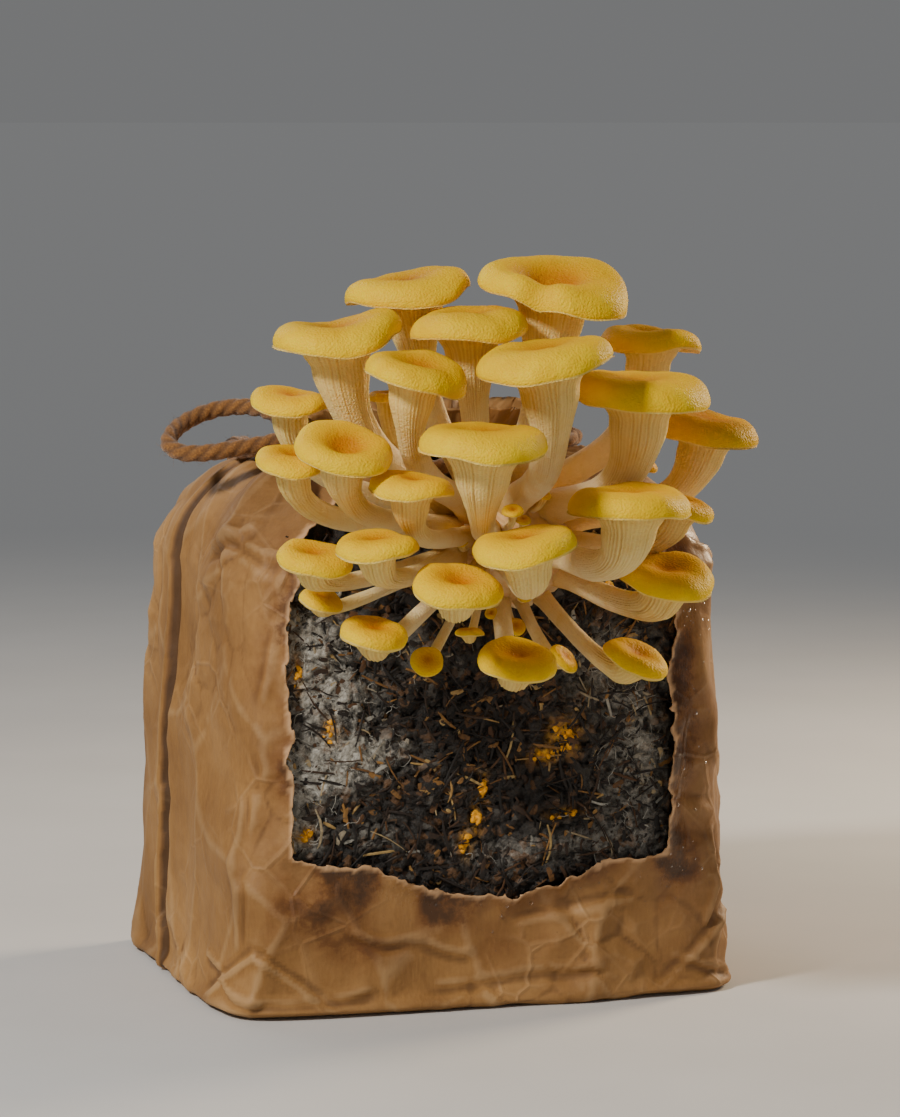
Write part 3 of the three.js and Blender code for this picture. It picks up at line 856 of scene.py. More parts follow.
def rings_of(points, tris):
    """The whole rings of a turned cap, from the middle of its top down the stem."""
    links = [set() for _ in points]
    for a, b, c in tris.tolist():
        links[a] |= {b, c}
        links[b] |= {a, c}
        links[c] |= {a, b}
    best, best_score = [], 0
    for pole, near in enumerate(links):
        if len(near) < 8:
            continue
        seen, ring, found = {pole} | near, near, [[pole], sorted(near)]
        while True:
            after = set().union(*(links[v] for v in ring)) - seen
            if len(after) != len(near):
                break
            seen |= after
            ring = after
            found.append(sorted(after))
        score = len(found) + np.linalg.norm(points[pole] - BASE_MIDDLE) / 1000
        if score > best_score:
            best, best_score = found, score
    return best


def measured_mushroom(name):
    """What the fine mushroom is built from, measured on the CAD one's rings."""
    points, tris = node_mesh(name)
    rings = rings_of(points, tris)
    rim, under = points[rings[3]], points[rings[4]]
    centre = under.mean(0)
    _, _, axes = np.linalg.svd(under - centre)
    up = axes[2] * np.sign(axes[2] @ (points[rings[0][0]] - centre))
    across = rim - rim.mean(0)
    flat = across - np.outer(across @ up, up)
    radius = np.linalg.norm(flat, axis=1).mean()
    right = unit(np.array([1.0, 0, 0]) - up * up[0])
    forth = np.cross(up, right)
    angle = np.arctan2(across @ forth, across @ right)
    rise = across @ up
    wave = (2 * (rise * np.cos(2 * angle)).mean(), 2 * (rise * np.sin(2 * angle)).mean())
    low = points[rings[-1]]
    ring_radius = np.linalg.norm(low - low.mean(0), axis=1).mean()
    level = len(rings) - 1
    if level >= 9:
        stem = ring_radius / 0.92
    elif level == 8:
        stem = ring_radius
    else:
        stem = (ring_radius - 0.3 * radius * FLARE_RADIUS) / 0.7
    return {"centre": centre, "up": up, "right": right, "forth": forth, "radius": radius,
            "stem": stem, "wave": wave}


def bezier(corners, count):
    t = np.linspace(0, 1, count)[:, None]
    a, b, c, d = corners
    return (1 - t)**3 * a + 3 * (1 - t)**2 * t * b + 3 * (1 - t) * t * t * c + t**3 * d


def stem_path(spec):
    """The stem's middle line, from the cap's centre into the common base."""
    cap, up, radius = spec["centre"], spec["up"], spec["radius"]
    outward = unit(cap - up * radius * 0.8 - BASE_MIDDLE)
    root = BASE_MIDDLE + outward / np.linalg.norm(outward / BASE_HALF)
    drop = radius + max(cap[2] - root[2], 0) * STEM_SAG
    corners = (cap, cap - up * drop, root + outward * np.linalg.norm(root - cap) * ROOT_PULL, root)
    curve = bezier(corners, 160)
    inside = root - outward * np.linspace(0.4, 7, 12)[:, None]
    return np.concatenate([curve, inside]), curve_length(curve)


def flat_spline(points, count):
    points = np.array(points)
    return spline(np.column_stack([points, np.zeros(len(points))]), count)[:, :2]


def mushroom_line(radius, stem, flare, length, full):
    """The mushroom's section, as (out, up) from the middle of its top to under its
    rim and down the stem, and how many of its rows are the cap's."""
    height = radius * CAP_THICKNESS
    reach = min(radius * FLARE_REACH, length * 0.6)
    section = np.array(CAP_SECTION) * [radius, height]
    cap_rows = max(int(radius * 1.5), 15)
    cap_line = flat_spline(section, cap_rows)
    edge = cap_line[-1]
    under = [
        edge + [-0.35, 0.02], (radius * 0.92, height * 0.05), (radius * 0.82, height * 0.14),
        (radius * 0.7, height * 0.16), (radius * 0.58, height * 0.05), (flare * 1.08, -reach * 0.07),
        (flare * 0.9, -reach * 0.18), (flare * 0.66 + stem * 0.34, -reach * 0.36),
        (flare * 0.27 + stem * 0.73, -reach * 0.62), (stem * 0.98, -reach),
        (stem * 0.9, -(reach + length) / 2), (stem * 0.93, -length * 0.9), (stem * 1.08, -length),
        (stem * 1.15, -full),
    ]
    under_rows = max(int((full + radius * 0.5) / STEM_STEP), 18)
    under_line = flat_spline(under, under_rows)
    # Rows close together on both sides of the edge keep it crisp.
    crisp = [edge + [0.03, 0.12], edge, edge + [-0.1, -0.01]]
    line = np.concatenate([cap_line[1:-1], crisp, under_line])
    return line, cap_rows + 1


def rim_shape(rng, angle, folds, lean):
    """How far out and up the rim goes at each angle: slow waves, and its folds."""
    spread, lift = np.zeros(len(angle)), np.zeros(len(angle))
    for turns, wide, tall in RIM_WAVES:
        a, b = rng.uniform(0, 2 * math.pi, 2)
        spread += wide * np.cos(turns * angle + a)
        lift += tall * np.cos(turns * angle + b)
    for turn, width, pull, raised in folds:
        away = (np.degrees(angle) - turn + 180) % 360 - 180
        bell = np.exp(-(away / width) ** 2)
        spread += pull * bell
        lift += raised * bell
    return spread, lift + lean * np.sin(angle)


def mushroom_parts(spec, seed, dimple, folds, painted_warm_light, lean=0.0):
    """Points, faces and attributes of one mushroom from its cap and its root."""
    rng = np.random.default_rng(SEED * 1000 + seed)
    radius, stem = spec["radius"] * CAP_FULLNESS, spec["stem"] * STEM_FULLNESS
    flare = max(radius * FLARE_RADIUS * 1.08, stem * 1.2)
    path, length = stem_path(spec)
    full = curve_length(path)

    gills = max(int(round(2 * math.pi * flare / GILL_SPACING)), 9)
    columns = gills * 4
    column = np.arange(columns)
    jitter = rng.uniform(-0.9, 0.9, gills)
    angle = column * 2 * math.pi / columns
    shift = np.repeat(jitter, 4) * 0.8 * 2 * math.pi / columns

    line, cap_rows = mushroom_line(radius, stem, flare, length, full)
    rows = len(line)
    out, along = line[:, 0], line[:, 1]
    is_cap = np.arange(rows) < cap_rows - 1

    share = np.clip(out / radius, 0, 1)
    depth = np.where(is_cap, 0, np.clip(-along, 0, full))
    frames_path = at_lengths(path, np.linspace(0, full, STEM_FRAMES))
    _, sides, thirds = carried_frames(frames_path, spec["right"])
    at = np.round(depth / full * (STEM_FRAMES - 1)).astype(int)
    side, third = sides[at].copy(), thirds[at].copy()
    handed = np.sign(np.cross(sides[0], spec["forth"]) @ np.cross(sides[0], thirds[0])) or 1.0
    third = third * handed
    side[is_cap], third[is_cap] = spec["right"], spec["forth"]
    centre = at_lengths(path, depth) + spec["up"] * np.where(is_cap | (along > 0), along, 0)[:, None]

    # Ribs: long gills that run down the stem and short ones near the rim.
    cos_turn, sin_turn = np.cos(angle)[None], np.sin(angle)[None]
    long_rib = np.array([1.0, 0.35, 0.0, 0.35])[column % 4]
    short_rib = np.array([0.0, 0.0, 0.9, 0.0])[column % 4]
    near_rim = smooth_step(0.5, 0.7, share) * ~is_cap
    every_rib = np.maximum(long_rib > 0.9, short_rib)
    rib = long_rib[None] * (1 - near_rim[:, None]) + every_rib[None] * near_rim[:, None]
    strength = np.repeat(rng.uniform(0.15, 1.35, gills) ** 1.2, 4)[None]
    reached = np.stack(np.broadcast_arrays(cos_turn * 4, sin_turn * 4, depth[:, None] / 11), axis=-1)
    strength = strength * (0.75 + 0.5 * noise(reached, 1.0, seed + 9))
    fade = np.where(is_cap, 0, 1 - 0.88 * smooth_step(radius * 0.7, radius * 2.3, depth))
    start = smooth_step(0.9, 0.8, share) if radius > 4 else np.ones(rows)
    relief = (rib - 0.45) * strength * fade[:, None] * np.where(is_cap, 0, start)[:, None]
    amount = GILL_DEPTH * min(1, radius / 12) * (0.85 + 0.45 * near_rim)

    around = np.stack(np.broadcast_arrays(cos_turn * 5, sin_turn * 5, depth[:, None] / 13), axis=-1)
    wobble = noise(around, 1.0, seed)
    loose = smooth_step(0.98, 0.85, share)[:, None] * ~is_cap[:, None]
    angles = angle[None] + (wobble * 0.9 * 2 * math.pi / columns + shift[None] * 0.5) * loose
    cos, sin = np.cos(angles), np.sin(angles)
    ring = side[:, None] * cos[..., None] + third[:, None] * sin[..., None]

    spread, lift = rim_shape(rng, angle, folds, lean)
    towards = share**2
    down_stem = flat_points(cos * 1.2, sin * 1.2, depth[:, None] / 16 + seed * 3.1)
    stalk_even = 1 + 0.05 * noise(down_stem, 1.0, seed + 5)
    wide = out[:, None] * (1 + spread[None] * towards[:, None]) * np.where(is_cap[:, None], 1, stalk_even)
    wave = spec["wave"][0] * np.cos(2 * angle) + spec["wave"][1] * np.sin(2 * angle)
    lifted = np.where(is_cap | (share > 0.7), 1, smooth_step(0.45, 0.7, share))
    tall = (wave + lift * radius)[None] * (share**1.6 * lifted)[:, None]

    # The dimple sits a little off the middle and is not quite round.
    shift = rng.uniform(-0.12, 0.12, 2) * radius
    x, y = wide * cos - shift[0], wide * sin - shift[1] + (2.2 * lean - 0.05) * radius
    size = radius * rng.uniform(0.25, 0.3)
    bowl = dimple * radius * np.exp(-(x * x * 0.8 + y * y * 1.15) / (2 * size * size)) * is_cap[:, None]
    points = centre[:, None] + ring * (wide + relief * amount[:, None])[..., None]
    points = points + spec["up"] * (tall - bowl)[..., None]
    outward = unit(ring * share[:, None, None] + spec["up"] * (1.2 - share)[:, None, None])
    swell = fractal(points, 9.0, 3, 40 + seed) * 0.32 + fractal(points, 1.6, 2, 60 + seed) * 0.055
    swell = swell * np.where(is_cap, 1, 0.45)[:, None] * min(1, radius / 10)
    points = points + outward * swell[..., None]

    pole = points[0].mean(0) + spec["up"] * 0.02
    points = np.concatenate([points.reshape(-1, 3), pole[None], path[-1:]])
    size = rows * columns
    faces = [grid_faces(rows, columns)[:, ::-1]]
    faces.append(fan_faces(size, np.arange(columns)))
    faces.append(fan_faces(size + 1, np.arange(columns) + size - columns, flip=True))

    yellow = np.where(is_cap, 1, 0) * smooth_step(0.0, 0.06, 1.0 - (np.arange(rows) >= cap_rows - 3))
    under_glow = np.where(is_cap, 0, 0.2 * smooth_step(0.5, 0.9, share))
    cap_share = np.repeat(np.maximum(yellow, under_glow)[:, None], columns, 1)
    radial = np.repeat(share[:, None], columns, 1)
    radial = np.where(is_cap[:, None], np.clip(radial - bowl / radius * 1.2, 0, 1), radial)
    down = np.repeat((depth / full)[:, None], columns, 1)
    # Painted warm light, with some noise in it.
    painted_warm_light_field = np.clip(painted_warm_light + 0.18 * noise(points[:size].reshape(rows, columns, 3), 14, seed + 3), 0, 1)
    # Low in the grooves between the ribs, for painted shade there.
    groove = np.where(is_cap[:, None], 1, 0.62 + (rib - 0.55) * fade[:, None] * np.clip(strength, 0.3, 1.1))
    attributes = {}
    for key, values, ends in (
        ("cap", cap_share, (1, 0)), ("radial", radial, (0, 1)), ("down", down, (0, 1)),
        ("painted_warm_light", painted_warm_light_field, (painted_warm_light, painted_warm_light)), ("rib", groove, (1, 1)),
    ):
        attributes[key] = np.concatenate([values.ravel(), ends])
    return points, faces, attributes


def add_mushrooms(flesh):
    names = sorted(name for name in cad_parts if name.startswith("mushroom_"))
    for seed, name in enumerate(names):
        spec = measured_mushroom(name)
        x, _, z = spec["centre"]
        # Painted warm light: more towards the right, and a little more lower down.
        painted_warm_light = 0.62 * smooth_step(25, 75, x) + 0.12 * smooth_step(150, 110, z)
        parts = mushroom_parts(spec, seed, DIMPLES.get(name, 0.08), RIM_FOLDS.get(name, ()), painted_warm_light,
                               RIM_TILTS.get(name, 0.01))
        add_parts(name + "_flesh", [parts], flesh, "mushroom_flesh", name)


# Young mushrooms between the grown ones: the cap's middle from the base's
# middle, its radius and its stem's radius.
PINS = [
    (-13, -62, 17, 3.8, 1.6), (-8, -58, 13.5, 2.8, 1.2), (-1, -38, -14, 3.0, 2.2),
    (-3, -35, -25, 3.6, 1.6), (32, -31, -13, 2.4, 1.3), (36, -29, -16, 2.0, 1.2),
    (29, -30, -18, 1.8, 1.1), (43, -33, 29, 5.5, 3.0), (-12, -36, -20, 2.4, 1.3),
    (-30, -30, -12, 2.6, 1.4), (14, -33, -23, 2.2, 1.2), (-22, -34, 4, 2.6, 1.5),
    (22, -36, -4, 2.4, 1.4), (4, -44, 20, 2.6, 1.4), (-36, -26, 8, 2.2, 1.3),
]


def add_pins(flesh):
    parts = []
    for index, (x, y, z, radius, stem) in enumerate(PINS):
        centre = BASE_MIDDLE + [x, y, z]
        up = unit(np.array([x * 0.012, -0.45, 0.9 if z > -8 else 0.35]))
        right = unit(np.array([1.0, 0, 0]) - up * up[0])
        spec = {"centre": centre, "up": up, "right": right, "forth": np.cross(up, right),
                "radius": radius, "stem": stem, "wave": (0.0, 0.0)}
        parts.append(mushroom_parts(spec, 100 + index, 0.12, (), 0.25))
    add_parts("young_mushrooms", parts, flesh, "mushroom_flesh")


def add_base(flesh):
    """The lump of fused flesh, bulging between the stems that leave it."""
    rows, columns = BASE_GRID
    tilt = np.linspace(0.02, math.pi - 0.02, rows)[:, None]
    turn = np.linspace(0, 2 * math.pi, columns, endpoint=False)[None]
    ball = np.stack(np.broadcast_arrays(
        np.sin(tilt) * np.cos(turn), -np.cos(tilt), np.sin(tilt) * np.sin(turn),
    ), axis=-1)
    points = BASE_MIDDLE + ball * BASE_HALF
    bulge = fractal(points, 15, 2, 71) * 1.9 + np.abs(fractal(points, 6, 3, 73)) * 1.5
    radial = np.arctan2(ball[..., 2], ball[..., 0])
    ribs = np.abs(np.sin(radial * BASE_RIBS + noise(points, 9, 75) * 2.5)) * 0.45 * np.sin(tilt)
    points = points + ball * (bulge - ribs - 0.6)[..., None]
    points[..., 1] = np.minimum(points[..., 1], BASE_MIDDLE[1] + 3)
    ends = np.stack([points[0].mean(0), points[-1].mean(0)])
    shade = np.concatenate([np.clip(0.5 - bulge * 0.22, 0, 1).ravel(), [0.5, 0.5]])
    part = (np.concatenate([points.reshape(-1, 3), ends]), capped(rows, columns), {"shade": shade})
    add_parts("cluster_base_flesh", [part], flesh, "stem_flesh", "cluster_base")


mushroom_flesh = mushroom_material()
add_mushrooms(mushroom_flesh)
add_pins(mushroom_flesh)
add_base(base_material())


# ---- bag -----------------------------------------------------------------

NECK_MIDDLE = float(sum(box_mm("twine_wrap")[i][2] for i in (0, 1)) / 2)
BAG_SEGMENTS = 40


def bag_levels():
    """The bag's sections from its CAD wall: height, half width and depth, and
    the exponent that squares the outline."""
    points, _ = node_mesh("paper_bag")
    heights = np.round(points[:, 2], 2)
    levels = []
    for height in np.unique(heights):
        ring = points[heights == height]
        width, depth = np.abs(ring[:, 0]).max(), np.abs(ring[:, 1]).max()
        if (np.abs(np.abs(ring[:, 0]) - width) < 0.5).sum() < 2 or len(ring) < BAG_SEGMENTS - 6:
            continue
        corner = np.minimum(np.abs(ring[:, 0]) / width, np.abs(ring[:, 1]) / depth).max()
        levels.append((height, width, depth, -1 / math.log2(min(corner, 0.99))))
    levels = np.array(levels)
    outer = [0]
    for i in range(1, len(levels)):
        # The bag's inside has rings of its own, which are narrower.
        if levels[i, 1] > 0.5 * levels[outer[-1], 1] and levels[i, 0] - levels[outer[-1], 0] > 1:
            outer.append(i)
    return levels[outer]


def window_outline():
    """The torn window's outline in (x, z), from the walls that its cut left."""
    points, tris = node_mesh("paper_bag")
    a, b, c = (points[tris[:, k]] for k in range(3))
    normal = unit(np.cross(b - a, c - a))
    middle = (a + b + c) / 3
    half = box_mm("paper_bag")[1][0]
    cut = (np.abs(normal[:, 1]) < 0.01) & (np.abs(middle[:, 0]) < half * 0.82)
    cut &= (middle[:, 1] < -20) & (middle[:, 2] > 20)
    ring = points[np.unique(tris[cut])][:, [0, 2]]
    ring = ring[np.unique(np.round(ring, 1), axis=0, return_index=True)[1]]
    middle = (ring.min(0) + ring.max(0)) / 2
    order = np.argsort(np.arctan2(ring[:, 1] - middle[1], ring[:, 0] - middle[0]))
    return ring[order]


def distance_to(outline, x, z):
    """Signed distance to a closed outline, positive inside it."""
    best = np.full(x.shape, FAR)
    inside = np.zeros(x.shape, bool)
    for (ax, az), (bx, bz) in zip(outline, np.roll(outline, -1, axis=0)):
        ex, ez = bx - ax, bz - az
        t = np.clip(((x - ax) * ex + (z - az) * ez) / (ex * ex + ez * ez + 1e-9), 0, 1)
        best = np.minimum(best, np.hypot(x - ax - t * ex, z - az - t * ez))
        crosses = (az > z) != (bz > z)
        at = ax + (z - az) / np.where(abs(ez) < 1e-9, 1e-9, ez) * ex
        inside ^= crosses & (x < at)
    return np.where(inside, best, -best)


def sites_near(u, v, size, seed, stretch, jitter):
    """Each of the nine scattered sites near a point: its cell, and the way from it
    to the point, in cells."""
    q = np.stack([u / size, v / (size * stretch)], axis=-1)
    cell = np.floor(q).astype(np.int64)
    for dx in (-1, 0, 1):
        for dz in (-1, 0, 1):
            at = cell + [dx, dz]
            third = np.stack([at[..., 0], at[..., 1], np.zeros_like(at[..., 0])], axis=-1)
            yield (third, q[..., 0] - (at[..., 0] + 0.5 + jitter * lattice(third, seed)),
                   q[..., 1] - (at[..., 1] + 0.5 + jitter * lattice(third, seed + 1)))


def clods(u, v, size, seed, stretch):
    """Distances to the two nearest of scattered sites, and the nearest one's tilt."""
    first, second = np.full(u.shape, FAR), np.full(u.shape, FAR)
    tilt = np.zeros(u.shape)
    for third, ox, oz in sites_near(u, v, size, seed, stretch, 0.42):
        slope = lattice(third, seed + 2) * ox + lattice(third, seed + 3) * oz
        away = ox * ox + oz * oz
        nearer = away < first
        second = np.where(nearer, first, np.minimum(second, away))
        tilt = np.where(nearer, slope, tilt)
        first = np.where(nearer, away, first)
    return np.sqrt(first), np.sqrt(second), tilt


def facets(u, v, size, seed, stretch=1.0):
    """A sheet of hollow facets that meet in crisp ridges, about 0 to 0.6 high in
    cell sizes, and how near each point is to a ridge."""
    first, second = np.full(u.shape, FAR), np.full(u.shape, FAR)
    for third, ox, oz in sites_near(u, v, size, seed, stretch, 0.4):
        slope = 0.55 * (ox * lattice(third, seed + 2) + oz * lattice(third, seed + 3))
        sheet = 0.85 * (ox * ox + oz * oz) + slope + 0.14 * lattice(third, seed + 4)
        second = np.where(sheet < first, first, np.minimum(second, sheet))
        first = np.minimum(first, sheet)
    return first, 1 - smooth_step(0, 0.13, second - first)


def fold_line(u, v, start, end, width):
    """How near a point is to a fold from start to end, 1 on it, and its side."""
    start, end = np.array(start, float), np.array(end, float)
    along = end - start
    length = np.linalg.norm(along)
    along = along / length
    du, dv = u - start[0], v - start[1]
    t = du * along[0] + dv * along[1]
    across = du * -along[1] + dv * along[0]
    ends = smooth_step(-width * 2, width * 2, t) * smooth_step(length + width * 2, length - width * 2, t)
    return np.exp(-(across / width) ** 2) * ends, across, ends


class Bag:
    """The bag's smooth wall, for the paper, and for what lies behind it."""

    def __init__(self):
        self.levels = bag_levels()
        self.outline = window_outline()

    def profile(self, step):
        """Sections up the wall, evenly spaced along it."""
        z, w, d, p = self.levels.T
        line = np.column_stack([w, d, z])
        # Extra points keep the long straight wall straight.
        low, high = line[1], line[2]
        more = [low + (high - low) * share for share in (0.08, 0.5, 0.92)]
        controls = np.concatenate([line[:2], more, line[2:]])
        fine = spline(controls, int(curve_length(controls) / step))
        sharp = np.interp(fine[:, 2], z, p)
        return fine, sharp

    def wall(self, angles, profile, sharp, inset=0.0):
        across = np.abs(np.cos(angles))[None] ** sharp[:, None]
        along = np.abs(np.sin(angles))[None] ** sharp[:, None]
        reach = (across + along) ** (-1 / sharp[:, None])
        x = np.cos(angles)[None] * reach * (profile[:, 0:1] - inset)
        y = np.sin(angles)[None] * reach * (profile[:, 1:2] - inset)
        return np.stack([x, y, np.repeat(profile[:, 2:3], len(angles), 1)], axis=-1)

    def even_angles(self, step):
        """Angles that are evenly spaced along the bag's foot."""
        _, width, depth, sharp = self.levels[1]
        fine = np.linspace(-math.pi / 2, math.pi * 1.5, 4001)
        reach = (np.abs(np.cos(fine)) ** sharp + np.abs(np.sin(fine)) ** sharp) ** (-1 / sharp)
        line = np.column_stack([np.cos(fine) * reach * width, np.sin(fine) * reach * depth])
        gone = travelled(line)
        count = int(gone[-1] / step)
        return np.interp(np.linspace(0, gone[-1], count, endpoint=False), gone, fine), gone[-1]

    def front_y(self, x, z):
        """Where the front wall is, as a depth for each (x, z)."""
        height = np.clip(z, self.levels[1, 0], self.levels[-3, 0] - 0.5)
        w, d, p = (np.interp(height, self.levels[:, 0], self.levels[:, k]) for k in (1, 2, 3))
        share = np.clip(np.abs(x) / w, 0, 0.999)
        return -d * (1 - share**p) ** (1 / p)


bag = Bag()


def grid_normals(points):
    around = np.roll(points, -1, 1) - np.roll(points, 1, 1)
    return unit(np.cross(around, np.gradient(points, axis=0)))


def paper_relief(u, v):
    """How far the paper stands out, and its crease marks, for each point: pale on ridges, partly wear and
    partly painted highlight, and painted shade in the hollows.
    u is the way round from the front's middle and v the way up, in mm."""
    warp = flat_points(u, v)
    wu = u + noise(warp, 44, 501) * 7 + noise(warp, 12, 502) * 1.0
    wv = v + noise(warp, 44, 503) * 7 + noise(warp, 12, 504) * 1.0
    calm = np.clip(0.9 + 0.5 * noise(warp, 60, 505), 0.45, 1.2)

    big, big_ridge = facets(wu, wv, 36, 511, 1.5)
    small, small_ridge = facets(wu * 0.94 + wv * 0.34, wv * 0.94 - wu * 0.34, 19, 521, 1.2)
    tiny, tiny_ridge = facets(wu, wv, 9, 531)
    rumpled = smooth_step(-0.25, 0.45, noise(warp, 38, 506)) * calm
    out = (big - 0.42) * FOLD_DEPTH * calm - (small - 0.2) * CREASE_DEPTH * (0.35 + 0.65 * rumpled)
    out = out + (tiny - 0.2) * 2.4 * rumpled + fractal(warp, 5, 3, 541) * 0.1 - 0.3
    # Crease marks: wear and painted highlight on the ridges, painted shade in the hollows.
    crease_wear_and_shading = big_ridge * calm * 0.9 - small_ridge * 0.75 * rumpled + tiny_ridge * 0.2 * rumpled
    return out, crease_wear_and_shading


def add_folds(u, v, out, crease_wear_and_shading, corner, side_middle):
    """The folds that a gusseted bag always has: pleats down its two sides and
    tucks at its corners. corner and side_middle are ways round from the front."""
    wave = noise(flat_points(u * 0, v), 26, 601) * 2.6 + noise(flat_points(u * 0, v), 8, 602) * 0.7
    for sign in (-1, 1):
        middle = sign * side_middle + wave * sign
        across = (u - middle) * sign
        ridge = np.exp(-(across / 1.4) ** 2)
        groove = np.exp(-((across + 3.4) / 2.0) ** 2)
        shaded = np.exp(-((across + 1.9) / 1.15) ** 2)
        behind = np.exp(-((across - 4.6) / 2.4) ** 2)
        out = out * (1 - 0.6 * np.exp(-(across / 7) ** 2)) + ridge * 2.2 - groove * 4.2 - behind * 1.2
        # Painted shade: a dark line in the pleat's fold, and a pale line on its ridge.
        crease_wear_and_shading = crease_wear_and_shading * (1 - shaded) + ridge * 0.8 - shaded * 3.8
        out = out + 1.3 * np.exp(-((u - sign * corner) / 4.5) ** 2) * noise(flat_points(u * 0, v), 19, 603)
    folds = [
        # start, end, width, ridge height, step across
        ((-corner - 34, 20), (-corner + 6, 5), 1.8, 1.3, 1.0),
        ((-corner - 30, 6), (-corner + 4, 24), 1.6, 1.0, -0.8),
        ((-corner + 4, 24), (-corner + 34, 4), 1.6, 1.1, -0.9),
        ((-corner + 2, 7), (-corner + 46, 10), 1.5, 0.9, 0.7),
        ((-corner - 6, 26), (-corner - 3, 78), 2.2, 0.9, 0.3),
        ((corner - 30, 5), (corner + 2, 30), 1.7, 1.1, -0.9),
        ((corner - 26, 15), (corner + 8, 8), 1.5, 1.1, 0.8),
        ((corner + 1, 30), (corner + 24, 6), 1.7, 1.0, -0.8),
        ((corner - 9, 26), (corner - 4, 60), 1.9, 1.0, 0.4),
        ((-corner - 22, 168), (-corner + 25, 157), 2.0, 1.5, 1.5),
        ((-corner - 42, 158), (-corner - 6, 172), 1.9, 1.3, 1.0),
        ((-corner + 4, 110), (-corner + 14, 160), 2.2, 1.1, -0.5),
        ((corner - 16, 166), (corner + 20, 150), 2.0, 1.3, -1.0),
        ((-52, 31), (-6, 22), 1.7, 0.7, 0.5),
        ((8, 30), (54, 38), 1.6, 0.7, -0.5),
        ((-20, 12), (40, 16), 1.9, 0.6, 0.5),
    ]
    back = side_middle * 2
    folds += [((sign * (back - 84), 150), (sign * (back - 124), 172), 2.0, 1.1, 0.8) for sign in (-1, 1)]
    folds += [((sign * (back - 60), 8), (sign * (back - 96), 28), 1.8, 1.1, -1.0) for sign in (-1, 1)]
    folds += [((sign * (back - 96), 40), (sign * (back - 108), 120), 2.4, 0.9, 0.4) for sign in (-1, 1)]
    bend = noise(flat_points(u, v), 14, 611) * 2.2
    for start, end, width, ridge, step in folds:
        on, across, ends = fold_line(u + bend, v + bend * 0.6, start, end, width)
        fall = np.exp(-np.abs(across) / 12)
        out = out + 1.6 * (on * ridge + ends * fall * step * smooth_step(-1.2, 1.2, across))
        out = out - np.exp(-((across + 2.8 * np.sign(step)) / 1.7) ** 2) * ends * 1.5
        # Painted shade beside each fold, and a pale line on its ridge.
        crease_wear_and_shading = crease_wear_and_shading + on * 0.8 - np.exp(-((across + 2.6 * np.sign(step)) / 1.6) ** 2) * ends * 0.6
    return out, crease_wear_and_shading


def add_pleats(out, crease_wear_and_shading, u, around, height):
    """Pleats that gather into the neck, and the ruffle above the tie. It also gives
    how far each point is up the way from the shoulder to the tie, from 0 to 1."""
    shoulder, top = bag.levels[2, 0], bag.levels[-1, 0]
    turn = u / around * 2 * math.pi
    loop = np.stack([np.sin(turn), np.cos(turn)], -1)
    rise = smooth_step(shoulder + 4, NECK_MIDDLE - 3, height)
    phase = np.arctan2(loop[..., 0], loop[..., 1])
    drift = noise(np.stack([loop[..., 0] * 2.2, loop[..., 1] * 2.2, height / 40], -1), 1.0, 621)
    fold = (phase * NECK_PLEATS + drift * 3.4) / (2 * math.pi)
    saw = np.abs((fold % 1) * 2 - 1)
    fine_fold = np.abs(((phase * NECK_FINE_PLEATS + drift * 5) / (2 * math.pi) % 1) * 2 - 1)
    pleat = (saw**0.8 - 0.55) * 3.6 + (fine_fold - 0.5) * 1.1
    tied = np.exp(-((height - NECK_MIDDLE) / 3.4) ** 2)
    ruffle = smooth_step(NECK_MIDDLE + 1, top, height)
    out = out * (1 - 0.7 * rise) + pleat * rise * (1 - 0.72 * tied) * (0.55 + 0.75 * ruffle)
    out = np.where(height > NECK_MIDDLE - 4, out - 1.4 * tied, out)
    # Painted shade in the neck pleats' hollows, and pale marks on their crests.
    crease_wear_and_shading = crease_wear_and_shading * (1 - 0.5 * rise) + ((saw > 0.86) * 0.8 - (saw < 0.14) * 0.9) * rise
    return out, crease_wear_and_shading, rise


def paper_stains(x, z, inside, front):
    """Damp stains along the window's lower edge and the strip to its right, and pale
    fibres where the paper is torn."""
    low_edge = smooth_step(62, 40, z) * (x > -80) * (x < 76)
    right_strip = smooth_step(56, 62, x) * front
    left_edge = smooth_step(-66, -70, x) * front
    near_edge = np.exp(-np.clip(-inside, 0, 80) / 7.0) * front
    wide_edge = np.exp(-np.clip(-inside, 0, 80) / 19.0) * front
    cloud = noise(flat_points(x, z), 17, 641)
    drip = np.exp(-((x + 38) / 27) ** 2) * smooth_step(10, 30, z) * smooth_step(66, 48, z)
    stain = near_edge * (0.55 * low_edge + 0.45 * left_edge + 0.4 * right_strip + 0.12) * (1 + 0.9 * cloud)
    stain = stain + 2.6 * wide_edge * drip * (0.75 + 0.9 * cloud)
    stain = stain + 0.3 * wide_edge * right_strip * (1 + cloud)
    stain = stain + 0.4 * wide_edge * low_edge * smooth_step(0.05, 0.5, cloud)
    torn = smooth_step(-1.5, -0.35, inside + 0.7 * noise(flat_points(x, z), 2.4, 643)) * front * 0.85
    wet = np.clip(right_strip * wide_edge * 1.3 + near_edge * low_edge * 0.7 + drip * wide_edge, 0, 1)
    return {"stain": np.clip(stain, 0, 1), "torn": torn, "wet": wet}


